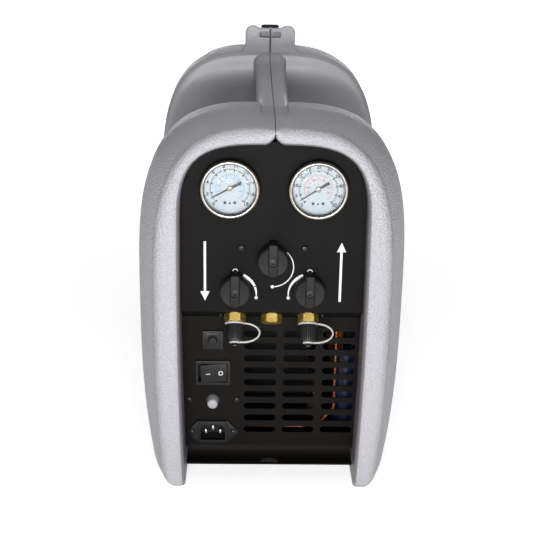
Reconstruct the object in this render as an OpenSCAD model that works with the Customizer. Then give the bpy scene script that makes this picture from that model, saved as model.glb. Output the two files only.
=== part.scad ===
// Portable refrigerant recovery machine: a two-part moulded casing with a top handle, a recessed
// control face with two gauges, three valve knobs and capped service ports, and inside it an
// oil-free compressor, a fan and a condenser. X is the viewer's right, Y runs back, Z is up.

/* [Casing] */
// Length, front to back
body_l = 450; // [445:1:470]
// Width over the bands
band_w = 250; // [246:1:260]
// Height of the bands
band_top = 355; // [352:1:362]
// Width of the bands at the floor
band_foot_w = 226; // [222:1:232]
// Width of the front face
front_w = 213; // [209:1:220]
// Height of the front face
front_top = 348; // [345:1:351]
// Width of the front face at the floor
front_foot_w = 199; // [196:1:205]
// Width of the waist between the bands
waist_w = 212; // [208:1:218]
// Height of the waist
waist_top = 276; // [270:1:282]
// Width of the waist at its underside
waist_foot_w = 196; // [192:1:202]
// Height where the sides are widest
belt_z = 180; // [175:1:185]
// Clear height under the body
under_clear = 14; // [12:1:16]
// Wall thickness
wall = 4; // [3:0.5:4.5]
// Depth of the front band
front_band_d = 90; // [86:1:96]
// Depth over which the front band flares
flare_d = 60; // [56:1:66]
// Depth of the rear band
rear_band_d = 109; // [104:1:114]
// Height of the rear band above the front band
rear_band_rise = 6; // [3:0.5:8]
// Depth of the raised rim of the rear band
rim_d = 47; // [44:1:52]
// Drop from the raised rim to the back of the rear band
rim_step = 5.5; // [4:0.5:7]
// Length of each cove between a band and the waist
cove_d = 60; // [50:1:64]
// Radius along the foot's outer edge
foot_r = 12; // [8:1:14]
// Seam between the two halves
seam = 0.4; // [0.2:0.1:1]

/* [Handle] */
// Width of the handle
handle_w = 32; // [28:1:36]
// Thickness of the handle
handle_t = 28; // [25:1:31]
// Top of the handle
handle_top = 350; // [347:1:351]
// Width of the rear block
block_w = 56; // [50:1:60]
// Depth of the rear block
block_d = 62; // [56:1:66]
// Height of the rear block above the front band
block_rise = 35.5; // [32:0.5:38]
// Fall of the rear block's top towards the back, in degrees
block_fall = 8; // [6:1:10]
// Width of the bumper on the rear block
bumper_w = 20; // [16:1:26]
// Depth of the bumper
bumper_d = 30; // [24:1:36]
// Thickness of the bumper
bumper_t = 3.5; // [3:0.5:4.5]

/* [Front opening and panels] */
// Width of the front opening
opening_w = 168; // [166:1:172]
// Top of the front opening
opening_top = 333; // [331:1:336]
// How far the opening draws in towards its top and bottom
opening_draw = 2.5; // [1:0.5:3]
// Height where the opening's sides turn into its crown
crown_z = 250; // [240:1:260]
// Depth of the control panel behind the front face
panel_recess = 18; // [15:1:20]
// Depth of the grille behind the front face
grille_recess = 38; // [36:1:41]
// Depth of the rear panel inside the rear face
rear_recess = 20; // [18:1:23]
// Sheet thickness of the panels
sheet = 1.5; // [1.2:0.1:2]
// Height of the bend between control panel and ledge
ledge_top = 173; // [171:1:175]
// Slope of the ledge
ledge_slope = 30; // [26:1:32]
// Radius of the bend at the foot of the grille
bend_r = 10; // [8:1:12]
// Depth of the lip at the foot of the grille, from its face
lip_d = 21; // [19:1:25]
// Radius of the half-round hole in the lip
notch_r = 8.5; // [6:0.5:10]

/* [Gauges] */
// Diameter of the bezel
gauge_d = 54; // [52:0.5:56]
// Distance between the gauges
gauge_spacing = 78.4; // [76:0.2:84]
// Height of the gauges
gauge_z = 291; // [288:0.5:293]
// How far the bezel stands proud of the panel
gauge_proud = 9; // [8.5:0.5:12]
// Depth of the case behind the panel
gauge_depth = 22; // [18:1:24]

/* [Valves] */
// Diameter of a knob
knob_d = 28.5; // [26:0.5:30]
// Height of a knob above the panel
knob_h = 15; // [14:0.5:18]
// Width of the grip bar
grip_w = 9; // [8:0.5:11]
// Distance between the input and output valves
valve_spacing = 68; // [66:1:74]
// Height of the input and output valves
valve_z = 196; // [195:0.5:200]
// Height of the recover valve
recover_z = 225.5; // [224:0.5:230]
// Diameter of a valve stem
stem_d = 8; // [7:0.5:9]
// Width of the valve manifold
manifold_w = 104; // [102:1:110]
// Depth of the valve manifold
manifold_d = 33.5; // [32:0.5:36]
// Top of the valve manifold
manifold_top = 247; // [245:1:252]

/* [Ports] */
// Size of the port hexagons across the flats
port_hex = 17; // [15:0.5:19]
// Length of the port hexagons
port_hex_l = 8; // [6:0.5:10]
// Diameter of the port thread, a quarter-inch flare
port_thread_d = 11.1; // [10.5:0.1:11.5]
// Distance of the port axis down the ledge
port_down = 11.3; // [10.5:0.1:12]
// Diameter of a port cap
cap_d = 16; // [15:0.5:18]
// Length of a port cap
cap_l = 15.5; // [13:0.5:18]
// Reach of a cap strap from the port axis
strap_reach = 25; // [22:1:28]
// Length of the purge cap
purge_cap_l = 8.5; // [8:0.5:12]

/* [Electrical] */
// Sideways place of the electrical controls
control_x = -55; // [-56:0.5:-53]
// Height of the circuit breaker
breaker_z = 136.5; // [135:0.5:138]
// Width of the circuit breaker
breaker_w = 20; // [18:0.5:22]
// Height of the rocker switch
rocker_z = 102.4; // [101:0.2:104]
// Width of the rocker switch
rocker_w = 34; // [32:0.5:36]
// Height of the rocker switch frame
rocker_h = 25.8; // [24:0.2:27]
// Tilt of the rocker each way
rocker_tilt = 8; // [6:1:10]
// Height of the reset button
reset_z = 73.8; // [73:0.2:76]
// Diameter of the reset button
reset_d = 10; // [8:0.5:11]
// How far the reset button stands proud
reset_proud = 12; // [8:0.5:14]
// Height of the mains inlet
inlet_z = 39.5; // [39:0.5:42]
// Width of the inlet flange
inlet_w = 50; // [48:0.5:50]
// Height of the inlet flange
inlet_h = 24; // [23:0.5:25]

/* [Vents] */
// Length of a vent slot
slot_w = 31; // [26:0.5:32]
// Height of a vent slot
slot_h = 6.5; // [5:0.5:8]
// Distance between slot columns
slot_pitch_x = 37.3; // [36:0.1:37.5]
// Distance between slot rows
slot_pitch_z = 12.6; // [11:0.1:12.8]
// Rows of slots
slot_rows = 9; // [5:1:9]
// Height of the top row
slot_top_z = 142.6; // [141:0.1:146]
// Place of the first column
slot_first_x = -9.8; // [-11:0.1:-9.5]

/* [Compressor] */
// Height of the crankshaft above the floor
shaft_z = 100; // [98:1:104]
// Radius of the motor
motor_r = 50; // [46:1:52]
// Length of the motor
motor_l = 115; // [105:1:118]
// Back end of the crankcase
crank_y = -20; // [-24:1:-16]
// Length of the crankcase
crank_l = 80; // [70:1:84]
// Width of the crankcase
crank_w = 84; // [76:1:88]
// Height of the crankcase above its base
crank_h = 104; // [98:1:108]
// Height of the cylinder head
head_h = 24; // [20:1:28]
// Height of the rubber mounts
mount_h = 12; // [10:1:14]
// Thickness of the compressor base
base_t = 6; // [5:0.5:8]
// Diameter of the motor shaft
shaft_d = 12; // [10:0.5:14]

/* [Fan and condenser] */
// Radius of the fan
fan_r = 70; // [64:1:71]
// Depth of the fan
fan_d = 25; // [20:1:27]
// Number of fan blades
fan_blades = 6; // [4:1:8]
// Width of the fan shroud and of the condenser
coil_w = 156; // [150:1:158]
// Height of the condenser
coil_h = 158; // [152:1:160]
// Depth of the condenser
coil_d = 36; // [30:1:40]
// Number of condenser fins
fin_count = 13; // [9:1:17]
// Rows of condenser tube
coil_rows = 6; // [4:2:6]

/* [Fits] */
// Clearance of a turning or sliding fit
running = 0.05; // [0.02:0.01:0.1]
// Clearance between parts that only sit beside each other
beside = 0.3; // [0.2:0.05:0.4]

/* [Hidden] */
$fn = 48;

// Places along Y
front_y = -body_l / 2;
rear_y = body_l / 2;
panel_y = front_y + panel_recess;
panel_back = panel_y + sheet;
grille_y = front_y + grille_recess;
grille_back = grille_y + sheet;
rear_panel_y = rear_y - rear_recess - sheet;
collar_y = panel_back + 4.5;
low_collar_y = grille_back + 4.5;
rear_collar_y = rear_panel_y - 2.5;
rear_rim_y = rear_y - rear_band_d;

// Heights
floor_z = under_clear + wall;
tray_top = floor_z + 2;
ledge_bottom = ledge_top - (grille_y - panel_y) * tan(ledge_slope);
ledge_rise = sheet / cos(ledge_slope);
grille_top = ledge_bottom - sheet * tan(ledge_slope) - beside;
lip_z = under_clear + 0.5;

// Colours
casing_grey = "#b9b9c0";
sheet_black = "#262524";
steel = "#c9c9cc";
dark_steel = "#55565a";
brass = "#c9a04e";
copper = "#c06f3c";
black = "#1a1a1b";

// General shapes

function mix(a, b, t) = a * (1 - t) + b * t;
function unit(v) = v / norm(v);
function arc(c, r, from, to, n) =
  [for (i = [0:n]) let (a = mix(from, to, i / n)) [c[0] + r * cos(a), c[1] + r * sin(a)]];

// Extrudes an X-Z outline from y0 to y1
module along_y(y0, y1) {
  translate([0, y1, 0]) rotate([90, 0, 0]) linear_extrude(y1 - y0) children();
}

// Extrudes a Y-Z outline from x0 to x1
module along_x(x0, x1) {
  translate([x0, 0, 0]) rotate([90, 0, 90]) linear_extrude(x1 - x0) children();
}

// Places children on a panel at y, with their Z towards the viewer
module facing(x, y, z) {
  translate([x, y, z]) rotate([90, 0, 0]) children();
}

// Places children on the ledge at a port, with their Z out along the port
module at_port(x, down = port_down) {
  translate([x, panel_y + down * cos(ledge_slope), ledge_top - down * sin(ledge_slope)])
    rotate([180 - ledge_slope, 0, 0]) children();
}

module rounded(w, h, r) {
  hull() for (x = [-1, 1], y = [-1, 1])
    translate([x * (w / 2 - r), y * (h / 2 - r)]) circle(r, $fn = 24);
}

module hexagon(flats) {
  circle(flats / sqrt(3), $fn = 6);
}

// Closed skin over a list of rings with the same number of points
module skin(rings) {
  n = len(rings[0]);
  m = len(rings);
  polyhedron(
    points = [for (r = rings) each r],
    faces = concat(
      [[for (j = [0:n - 1]) j]],
      [[for (j = [n - 1:-1:0]) (m - 1) * n + j]],
      [for (i = [0:m - 2], j = [0:n - 1])
        let (a = i * n + j, b = i * n + (j + 1) % n)
        each [[a, a + n, b + n], [a, b + n, b]]]));
}

// Points of a rounded corner at b on the way from a to c
function corner(a, b, c, r, n = 4) =
  let (u = unit(a - b), v = unit(c - b), turn = 180 - acos(u * v))
  turn < 1 ? [b] :
  let (centre = b + unit(u + v) * r / cos(turn / 2),
       f = b + u * r * tan(turn / 2) - centre,
       g = b + v * r * tan(turn / 2) - centre)
  [for (i = [0:n]) centre + (sin(turn * (1 - i / n)) * f + sin(turn * i / n) * g) / sin(turn)];

function bent(route, r) = concat(
  [route[0]],
  [for (i = [1:len(route) - 2]) each corner(route[i - 1], route[i], route[i + 1], r)],
  [route[len(route) - 1]]);

// Round pipe along a route of points with bends of one radius
pipe_tilt = [0.37, 0.61, 0.7];
module pipe(route, r, bend, sides = 10) {
  path = bent(route, bend);
  last = len(path) - 1;
  skin([for (i = [0:last])
    let (t = unit(path[min(i + 1, last)] - path[max(i - 1, 0)]),
         u = unit(cross(pipe_tilt, t)), v = cross(t, u))
    [for (k = [0:sides - 1]) path[i] + r * (cos(k * 360 / sides) * u + sin(k * 360 / sides) * v)]]);
}

// Casing outline: a section is [half width, top, half width at foot, bottom, power of the arch]

arch_n = 12;
front_face = [front_w / 2, front_top, front_foot_w / 2, 0, 3.2];
front_band = [band_w / 2, band_top, band_foot_w / 2, 0, 3.3];
rear_band = [band_w / 2, band_top + rear_band_rise, band_foot_w / 2, 0, 3.4];
rear_back = rear_band - rim_step * [1.1, 1, 1, 0, 0];
waist = [waist_w / 2, waist_top, waist_foot_w / 2, under_clear, 3.8];

function inset(s, d) = [s[0] - d, s[1] - d, s[2] - d, s[3] + d, s[4]];
function side_x(s, z) = s[0] - (s[0] - s[2]) * pow((belt_z - z) / (belt_z - s[3]), 3);
function arch_x(s, z) = s[0] * pow(1 - pow((z - belt_z) / (s[1] - belt_z), s[4]), 1 / s[4]);
function half_at(s, z) = z > belt_z ? arch_x(s, z) : side_x(s, z);

function outline(s) =
  let (turn_z = s[3] + foot_r)
  concat(
    [[-1, s[1]]],
    [for (i = [1:arch_n]) let (a = 90 * i / arch_n)
      [s[0] * pow(sin(a), 2 / s[4]), belt_z + (s[1] - belt_z) * pow(cos(a), 2 / s[4])]],
    [for (t = [0.35, 0.62, 0.83]) let (z = mix(belt_z, turn_z, t)) [side_x(s, z), z]],
    arc([side_x(s, turn_z) - foot_r, turn_z], foot_r, 0, -90, 3),
    [[-1, s[3]]]);

function station(y, s) = [for (p = outline(s)) [p[0], y, p[1]]];

// Edge roundings of the bands
front_round = 8;
rim_round = 4;
rear_round = 11;

cove_angles = [75, 60, 45, 30, 15, 0];
front_rim_y = front_y + front_band_d;
front_cove_y = front_rim_y + cove_d;
rear_cove_y = rear_rim_y - cove_d;
full_front_y = front_y + front_round - 1;
function flare(t) = mix(front_face, front_band, sin(90 * t));
function flare_y(t) = mix(full_front_y, front_y + flare_d, t);
function cove(band, a) = mix(waist, inset(band, rim_round), 1 - cos(a));

outer_stations = concat(
  [station(front_y, inset(front_face, front_round)),
   station(front_y + 0.25 * front_round, inset(front_face, 0.37 * front_round))],
  [for (t = [0, 0.35, 0.7, 1]) station(flare_y(t), flare(t))],
  [station(front_rim_y - 1.5 * rim_round, front_band),
   station(front_rim_y - 0.5 * rim_round, inset(front_band, 0.3 * rim_round)),
   station(front_rim_y, inset(front_band, rim_round))],
  [for (a = cove_angles) station(front_cove_y - cove_d * sin(a), cove(front_band, a))],
  [for (i = [len(cove_angles) - 1:-1:0])
    station(rear_cove_y + cove_d * sin(cove_angles[i]), cove(rear_band, cove_angles[i]))],
  [station(rear_rim_y, inset(rear_band, rim_round)),
   station(rear_rim_y + 0.5 * rim_round, inset(rear_band, 0.3 * rim_round)),
   station(rear_rim_y + 1.5 * rim_round, rear_band),
   station(rear_rim_y + rim_d - 1, rear_band),
   station(rear_rim_y + rim_d + 2, rear_back),
   station(rear_y - rear_round, rear_back),
   station(rear_y - 0.35 * rear_round, inset(rear_back, 0.25 * rear_round)),
   station(rear_y, inset(rear_back, rear_round))]);

cavity_stations = concat(
  [station(front_y + wall, inset(front_face, front_round + wall))],
  [for (t = [0, 0.35, 0.7, 1]) station(flare_y(t) + wall, inset(flare(t), wall))],
  [station(front_rim_y - wall - rim_round, inset(front_band, wall)),
   station(front_rim_y - wall, inset(front_band, wall + 0.5 * rim_round))],
  [for (a = cove_angles)
    station(front_cove_y - cove_d * sin(a) - wall * sin(a), inset(cove(front_band, a), wall * cos(a)))],
  [for (i = [len(cove_angles) - 1:-1:0]) let (a = cove_angles[i])
    station(rear_cove_y + (cove_d + wall) * sin(a), inset(cove(rear_band, a), wall * cos(a)))],
  [station(rear_rim_y + wall, inset(rear_band, wall + 0.5 * rim_round)),
   station(rear_rim_y + wall + rim_round, inset(rear_band, wall)),
   station(rear_rim_y + rim_d - wall, inset(rear_band, wall)),
   station(rear_rim_y + rim_d - wall + 3, inset(rear_back, wall)),
   station(rear_y - rear_round - wall, inset(rear_back, wall)),
   station(rear_y - wall, inset(rear_back, rear_round + 0.5 * wall))]);

// Front and rear openings: barrel sides below, an arched crown above

crown_power = 3.6;
function open_half(z) = opening_w / 2 - opening_draw * pow((z - belt_z) / 150, 2);
function open_side(grow, z0) = concat(
  [for (t = [0:0.2:1]) let (z = mix(z0, crown_z, t)) [open_half(z) + grow, z]],
  [for (i = [1:10]) let (a = 9 * i)
    [(open_half(crown_z) + grow) * pow(cos(a), 2 / crown_power),
     crown_z + (opening_top + grow - crown_z) * pow(sin(a), 2 / crown_power)]]);

module opening_shape(grow, z0) {
  right = open_side(grow, z0);
  n = len(right);
  polygon(concat(right, [for (i = [n - 2:-1:0]) [-right[i][0], right[i][1]]]));
}

// Part of the opening's outline between two heights
module opening_part(grow, z0, z1) {
  intersection() {
    opening_shape(grow, -2 * wall);
    translate([-band_w / 2, z0]) square([band_w, z1 - z0]);
  }
}

leg_half = open_half(0);
low_collar_z = ledge_top + ledge_rise + beside;

// Side screws hold the casing halves to the hoops

screw_r = 2;
screw_head_r = 4;
screw_head_h = 3;
screw_sink = 5;
post_r = 6.5;
screw_heights = [60, 209, 286];
hoop_t = 2;
hoop_w = 20;
hoop_half = 94;
hoop_top = 341;
front_hoop_y = front_y + 62;
rear_hoop_y = rear_rim_y + 14;

function hoop_x(z) = z > belt_z
  ? hoop_half * pow(1 - pow((z - belt_z) / (hoop_top - belt_z), 4), 0.25)
  : hoop_half;

// Places children at each side screw, with their Z straight out of the casing
module at_side_screws(sides) {
  for (side = sides, z = screw_heights) {
    translate([side * (half_at(front_band, z) - screw_sink), front_hoop_y + hoop_w / 2, z])
      rotate([0, side * 90, 0]) children();
    translate([side * (half_at(rear_band, z) - screw_sink), rear_hoop_y + hoop_w / 2, z])
      rotate([0, side * 90, 0]) children();
  }
}

// Tubular posts from the casing wall to a hoop
module posts() {
  for (z = screw_heights, end = [[front_band, front_hoop_y], [rear_band, rear_hoop_y]]) {
    start = hoop_x(z - post_r) + beside;
    translate([start, end[1] + hoop_w / 2, z]) rotate([0, 90, 0])
      hull() {
        cylinder(r = post_r, h = 1, $fn = 24);
        cylinder(r = post_r, h = half_at(end[0], z) - start - 2.5, $fn = 24);
      }
  }
}

// Handle and rear block

handle_front_y = front_rim_y - 2;
handle_back_y = rear_rim_y + 2;
handle_round = 10;
handle_wall = 4.5;
handle_flare = 3;
flare_l = 24;
handle_mid_z = handle_top - handle_t / 2;
block_front_y = rear_rim_y + 3;
block_top = band_top + block_rise;
block_round = 8;
dip_w = 34;
dip_depth = 2.5;
grip_slot = [25, 7, 3];
pocket_w = 24.4;
pocket_d = 45;
pocket_deep = 2.5;

module handle_section(y, grow) {
  along_y(y, y + 0.5)
    translate([0, handle_mid_z - grow / 2])
      rounded(handle_w + 2 * grow, handle_t + grow, handle_round);
}

module handle() {
  difference() {
    union() {
      hull() {
        handle_section(handle_front_y, handle_flare);
        handle_section(handle_front_y + flare_l, 0);
      }
      hull() {
        handle_section(handle_front_y + flare_l, 0);
        handle_section(handle_back_y - flare_l, 0);
      }
      hull() {
        handle_section(handle_back_y - flare_l, 0);
        handle_section(handle_back_y, handle_flare);
      }
    }
    along_y(handle_front_y + handle_wall, handle_back_y - handle_wall)
      translate([0, handle_mid_z])
        rounded(handle_w - 2 * handle_wall, handle_t - 2 * handle_wall, handle_round - handle_wall);
  }
}

// Leans children down towards the back, from the front of the block
module fallen() {
  fall = tan(block_fall);
  multmatrix([[1, 0, 0, 0], [0, 1, 0, 0], [0, -fall, 1, fall * block_front_y], [0, 0, 0, 1]]) children();
}

module block_body(shrink, low) {
  translate([0, block_front_y + block_d / 2, low])
    linear_extrude(block_top - 3 - shrink - low)
      rounded(block_w - 2 * shrink, block_d - 2 * shrink, block_round - 0.5 * shrink);
}

module block() {
  fallen() difference() {
    hull() {
      block_body(0, rear_band[1] - 2 * wall);
      translate([0, block_front_y + block_d / 2, block_top - 1])
        linear_extrude(1) rounded(block_w - 6, block_d - 6, block_round);
    }
    block_body(wall, rear_band[1] - 3 * wall);
    translate([-dip_w / 2, block_front_y - 1, block_top - dip_depth])
      cube([dip_w, block_d + 2, dip_depth + 1]);
    translate([-grip_slot[0] / 2, block_front_y - 1, block_top - 4 - grip_slot[1] - dip_depth])
      cube([grip_slot[0], grip_slot[2] + 1, grip_slot[1]]);
  }
}

module casing_half(side) {
  sill = leg_half + wall;
  rear_lip = 6;
  color(casing_grey) mirror([side < 0 ? 1 : 0, 0, 0]) intersection() {
    translate([seam / 2, front_y - 1, -1]) cube([band_w, body_l + 2, block_top + 2]);
    difference() {
      union() {
        difference() {
          skin(outer_stations);
          difference() {
            skin(cavity_stations);
            translate([-sill, front_y, -1]) cube([2 * sill, body_l, floor_z + 1]);
          }
        }
        along_y(front_y + 0.5 * wall, collar_y) opening_shape(wall, floor_z - wall);
        along_y(front_y + 0.5 * wall, low_collar_y)
          opening_part(wall, floor_z - wall, low_collar_z);
        along_y(rear_collar_y, rear_y - 0.5 * wall) opening_shape(wall, floor_z - wall);
        posts();
        handle();
        block();
      }
      along_y(front_y - 1, panel_back) opening_shape(0, -1);
      along_y(panel_back - 1, collar_y + 1) opening_shape(-wall, ledge_top);
      along_y(panel_back - 1, low_collar_y + 1) opening_part(0, -1, low_collar_z);
      along_y(rear_panel_y, rear_y + 1) opening_shape(0, -1);
      along_y(rear_collar_y - 1, rear_y) opening_shape(-rear_lip, floor_z);
      translate([-leg_half, front_y - 1, -1]) cube([2 * leg_half, body_l + 2, under_clear + 1]);
      translate([-pocket_w / 2, front_rim_y - pocket_d - 1, band_top - pocket_deep])
        cube([pocket_w, pocket_d, 2 * wall]);
      at_side_screws([1]) {
        cylinder(r = screw_head_r + beside, h = 5 * screw_sink, $fn = 24);
        translate([0, 0, -band_w / 4]) cylinder(r = screw_r + 0.15, h = band_w / 4 + 1, $fn = 24);
      }
      rear_panel_screw_places() translate([0, 0, -wall]) cylinder(r = 1.7, h = 2 * wall, $fn = 16);
    }
  }
}

module left_casing() {
  casing_half(-1);
}

module right_casing() {
  casing_half(1);
}

// Steel hoop inside a band, standing in its two hollow legs
module hoop(y) {
  function rail(d) = concat(
    [[hoop_half - d, wall + beside]],
    [for (i = [0:10]) let (a = 9 * i)
      [(hoop_half - d) * sqrt(cos(a)), belt_z + (hoop_top - d - belt_z) * sqrt(sin(a))]]);
  function both(d) = concat(rail(d), [for (i = [9:-1:0]) [-rail(d)[i + 1][0], rail(d)[i + 1][1]]],
    [[-(hoop_half - d), wall + beside]]);
  color(dark_steel) difference() {
    along_y(y, y + hoop_w) difference() {
      polygon(both(0));
      polygon(concat(both(hoop_t), [[-(hoop_half - hoop_t), 0], [hoop_half - hoop_t, 0]]));
    }
    for (side = [-1, 1], z = screw_heights)
      translate([side * hoop_half, y + hoop_w / 2, z]) rotate([0, 90, 0])
        cylinder(r = screw_r + 0.15, h = 40, center = true);
  }
}

module front_hoop() {
  hoop(front_hoop_y);
}

module rear_hoop() {
  hoop(rear_hoop_y);
}

// Cross-headed screw with its Z out of the head, seated at z = 0
module screw(head_r, head_h, r, l) {
  difference() {
    union() {
      cylinder(r = head_r, h = head_h);
      translate([0, 0, -l]) cylinder(r = r, h = l + head_h / 2);
    }
    for (turn = [0, 90]) rotate([0, 0, turn])
      translate([-0.6 * head_r, -0.15 * head_r, 0.45 * head_h]) cube([1.2 * head_r, 0.3 * head_r, head_h]);
  }
}

module casing_screws() {
  color(dark_steel) for (side = [-1, 1], z = screw_heights,
      end = [[front_band, front_hoop_y], [rear_band, rear_hoop_y]]) {
    x = half_at(end[0], z) - screw_sink;
    translate([side * x, end[1] + hoop_w / 2, z]) rotate([0, side * 90, 0])
      screw(screw_head_r, screw_head_h, screw_r, x - hoop_x(z) + 3 * hoop_t);
  }
}

module top_bumper() {
  middle = block_d / 2;
  color(black) translate([0, block_front_y + middle, block_top - dip_depth + running - middle * tan(block_fall)])
    rotate([-block_fall, 0, 0]) linear_extrude(bumper_t) rounded(bumper_w, bumper_d, 4);
}

// Control panel: upper plate, sloping ledge and a flange behind the grille

manifold_screw = [28.6, 235];
ledge_screw_x = 47.5;
ledge_screw_down = 18;
panel_screw_r = 1.75;
valves = [[-valve_spacing / 2, valve_z], [0, recover_z], [valve_spacing / 2, valve_z]];
ports = [-valve_spacing / 2, 0, valve_spacing / 2];
port_stub_r = 6;
port_stub_l = 15;
bezel_r = gauge_d / 2;
case_r = bezel_r - 1.9;
flange_h = 12;

module control_panel() {
  half = open_half(ledge_top) - beside;
  color(sheet_black) difference() {
    union() {
      along_y(panel_y, panel_back) opening_shape(-beside, ledge_top);
      along_x(-half, half) polygon([
        [panel_y, ledge_top], [grille_back, ledge_bottom - sheet * tan(ledge_slope)],
        [grille_back, ledge_bottom - flange_h], [grille_back + sheet, ledge_bottom - flange_h],
        [grille_back + sheet, ledge_bottom + ledge_rise - 2 * sheet * tan(ledge_slope)],
        [panel_y, ledge_top + ledge_rise]]);
    }
    for (side = [-1, 1]) {
      facing(side * gauge_spacing / 2, panel_back + 1, gauge_z) cylinder(r = case_r + beside, h = sheet + 2);
      facing(side * manifold_screw[0], panel_back + 1, manifold_screw[1])
        cylinder(r = panel_screw_r + beside, h = sheet + 2);
      at_port(side * ledge_screw_x, ledge_screw_down) translate([0, 0, -5])
        cylinder(r = panel_screw_r + beside, h = 6);
    }
    for (v = valves) facing(v[0], panel_back + 1, v[1]) cylinder(r = stem_d / 2 + beside, h = sheet + 2);
    for (x = ports) at_port(x) translate([0, 0, -5]) cylinder(r = port_stub_r + beside, h = 6);
  }
}

// Grille: vented sheet with the electrical controls at its left and a lip along its foot

breaker_body_w = 14;
rocker_body = [30, 22];
inlet_body = [27, 20];
inlet_ear = 20;
reset_screw = 23;
bush_r = reset_d / 2 + 1.6;
notch_edge = 2.2;
grille_screws = [[control_x - reset_screw, reset_z - 0.8], [control_x + reset_screw, reset_z - 0.8],
  [control_x - inlet_ear, inlet_z], [control_x + inlet_ear, inlet_z]];

module front_grille() {
  bend_c = [grille_y - bend_r, lip_z + sheet + bend_r];
  low_half = leg_half - beside;
  color(sheet_black) difference() {
    union() {
      along_y(grille_y, grille_back) opening_part(-beside, bend_c[1], grille_top);
      along_x(-low_half, low_half) polygon(concat(
        arc(bend_c, bend_r, 0, -90, 8), [[grille_y - lip_d, lip_z + sheet], [grille_y - lip_d, lip_z]],
        arc(bend_c, bend_r + sheet, -90, 0, 8)));
    }
    for (c = [0:2], r = [0:slot_rows - 1])
      facing(slot_first_x + c * slot_pitch_x, grille_back + 1, slot_top_z - r * slot_pitch_z)
        linear_extrude(sheet + 2) {
          square([slot_w - slot_h, slot_h], center = true);
          for (side = [-1, 1]) translate([side * (slot_w - slot_h) / 2, 0]) circle(slot_h / 2, $fn = 12);
        }
    facing(control_x, grille_back + 1, breaker_z)
      linear_extrude(sheet + 2) square(breaker_body_w + 2 * beside, center = true);
    facing(control_x, grille_back + 1, rocker_z)
      linear_extrude(sheet + 2) square(rocker_body + 2 * beside * [1, 1], center = true);
    facing(control_x, grille_back + 1, inlet_z)
      linear_extrude(sheet + 2) square(inlet_body + 2 * beside * [1, 1], center = true);
    facing(control_x, grille_back + 1, reset_z) cylinder(r = bush_r + beside, h = sheet + 2);
    for (s = grille_screws) facing(s[0], grille_back + 1, s[1])
      cylinder(r = panel_screw_r + 0.15, h = sheet + 2);
    translate([0, grille_y - lip_d + notch_edge, 0]) linear_extrude(lip_z + 3 * sheet) intersection() {
      circle(notch_r);
      translate([-notch_r, 0]) square([2 * notch_r, notch_r]);
    }
  }
}

// Rear panel: plain sheet with a ringed fan guard

rear_screw_heights = [70, 240];
guard_pitch = 10;

module rear_panel_screw_places() {
  for (side = [-1, 1], z = rear_screw_heights)
    translate([side * (open_half(z) - 3), rear_panel_y, z]) rotate([-90, 0, 0]) children();
}

module rear_panel() {
  color(sheet_black) difference() {
    along_y(rear_panel_y, rear_panel_y + sheet) opening_shape(-beside, under_clear + beside);
    along_y(rear_panel_y - 1, rear_panel_y + sheet + 1) translate([0, shaft_z]) difference() {
      for (r = [2 * guard_pitch:guard_pitch:fan_r]) difference() {
        circle(r);
        circle(r - 0.6 * guard_pitch);
      }
      for (turn = [0:45:135]) rotate(turn) square([2 * fan_r + 10, 6], center = true);
    }
    rear_panel_screw_places() translate([0, 0, -1]) cylinder(r = 1.7, h = sheet + 2);
  }
}

module panel_screws() {
  color(dark_steel) {
    for (side = [-1, 1]) {
      facing(side * manifold_screw[0], panel_y, manifold_screw[1]) screw(3.4, 2.2, panel_screw_r, 12);
      at_port(side * ledge_screw_x, ledge_screw_down) screw(3.2, 2, panel_screw_r, 10);
    }
    for (s = [0, 1]) facing(grille_screws[s][0], grille_y, grille_screws[s][1])
      screw(3.2, 2, panel_screw_r, sheet + 3);
    for (s = [2, 3]) facing(grille_screws[s][0], grille_y - inlet_flange_t, grille_screws[s][1])
      screw(2.9, 1.4, panel_screw_r, inlet_flange_t + sheet + 3);
    rear_panel_screw_places() translate([0, 0, sheet]) screw(2.8, 2, 1.5, sheet + 2.5);
  }
}

// Tray on the casing floor, with two ears for what stands beside the compressor

tray_t = tray_top - floor_z;
tray_half = leg_half + wall - 1;
tray_front_y = low_collar_y + 1;
tray_back_y = rear_collar_y - 1;
capacitor_x = 78;
capacitor_y = -130;
capacitor_r = 14;
capacitor_h = 85;
mount_x = crank_w / 2 + 8;
mount_r = 9;
bolt_r = 3;
base_front_y = crank_y - crank_l - 5;
base_back_y = crank_y + motor_l - 10;
mount_ys = [base_front_y + 10, base_back_y - 10];

module base_tray() {
  color(dark_steel) difference() {
    union() {
      translate([-tray_half, tray_front_y, floor_z])
        cube([2 * tray_half, tray_back_y - tray_front_y, tray_t]);
      translate([0, capacitor_y - capacitor_r - 2, floor_z])
        cube([capacitor_x + capacitor_r, 2 * capacitor_r + 4, tray_t]);
    }
    for (x = [-mount_x, mount_x], y = mount_ys)
      translate([x, y, floor_z - 1]) cylinder(r = bolt_r + beside, h = tray_t + 2);
  }
}

// Gauges

gauge_xs = [-gauge_spacing / 2, gauge_spacing / 2];
pointer_rest = [208.5, 213];
dial_z = 1;
dial_t = 0.6;
lens_t = 2;
lip_t = 1.5;
lens_z = gauge_proud - lip_t - lens_t - 0.1;
pointer_r = 1;
gauge_stem_r = 5;
gauge_stem_l = 14;

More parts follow.
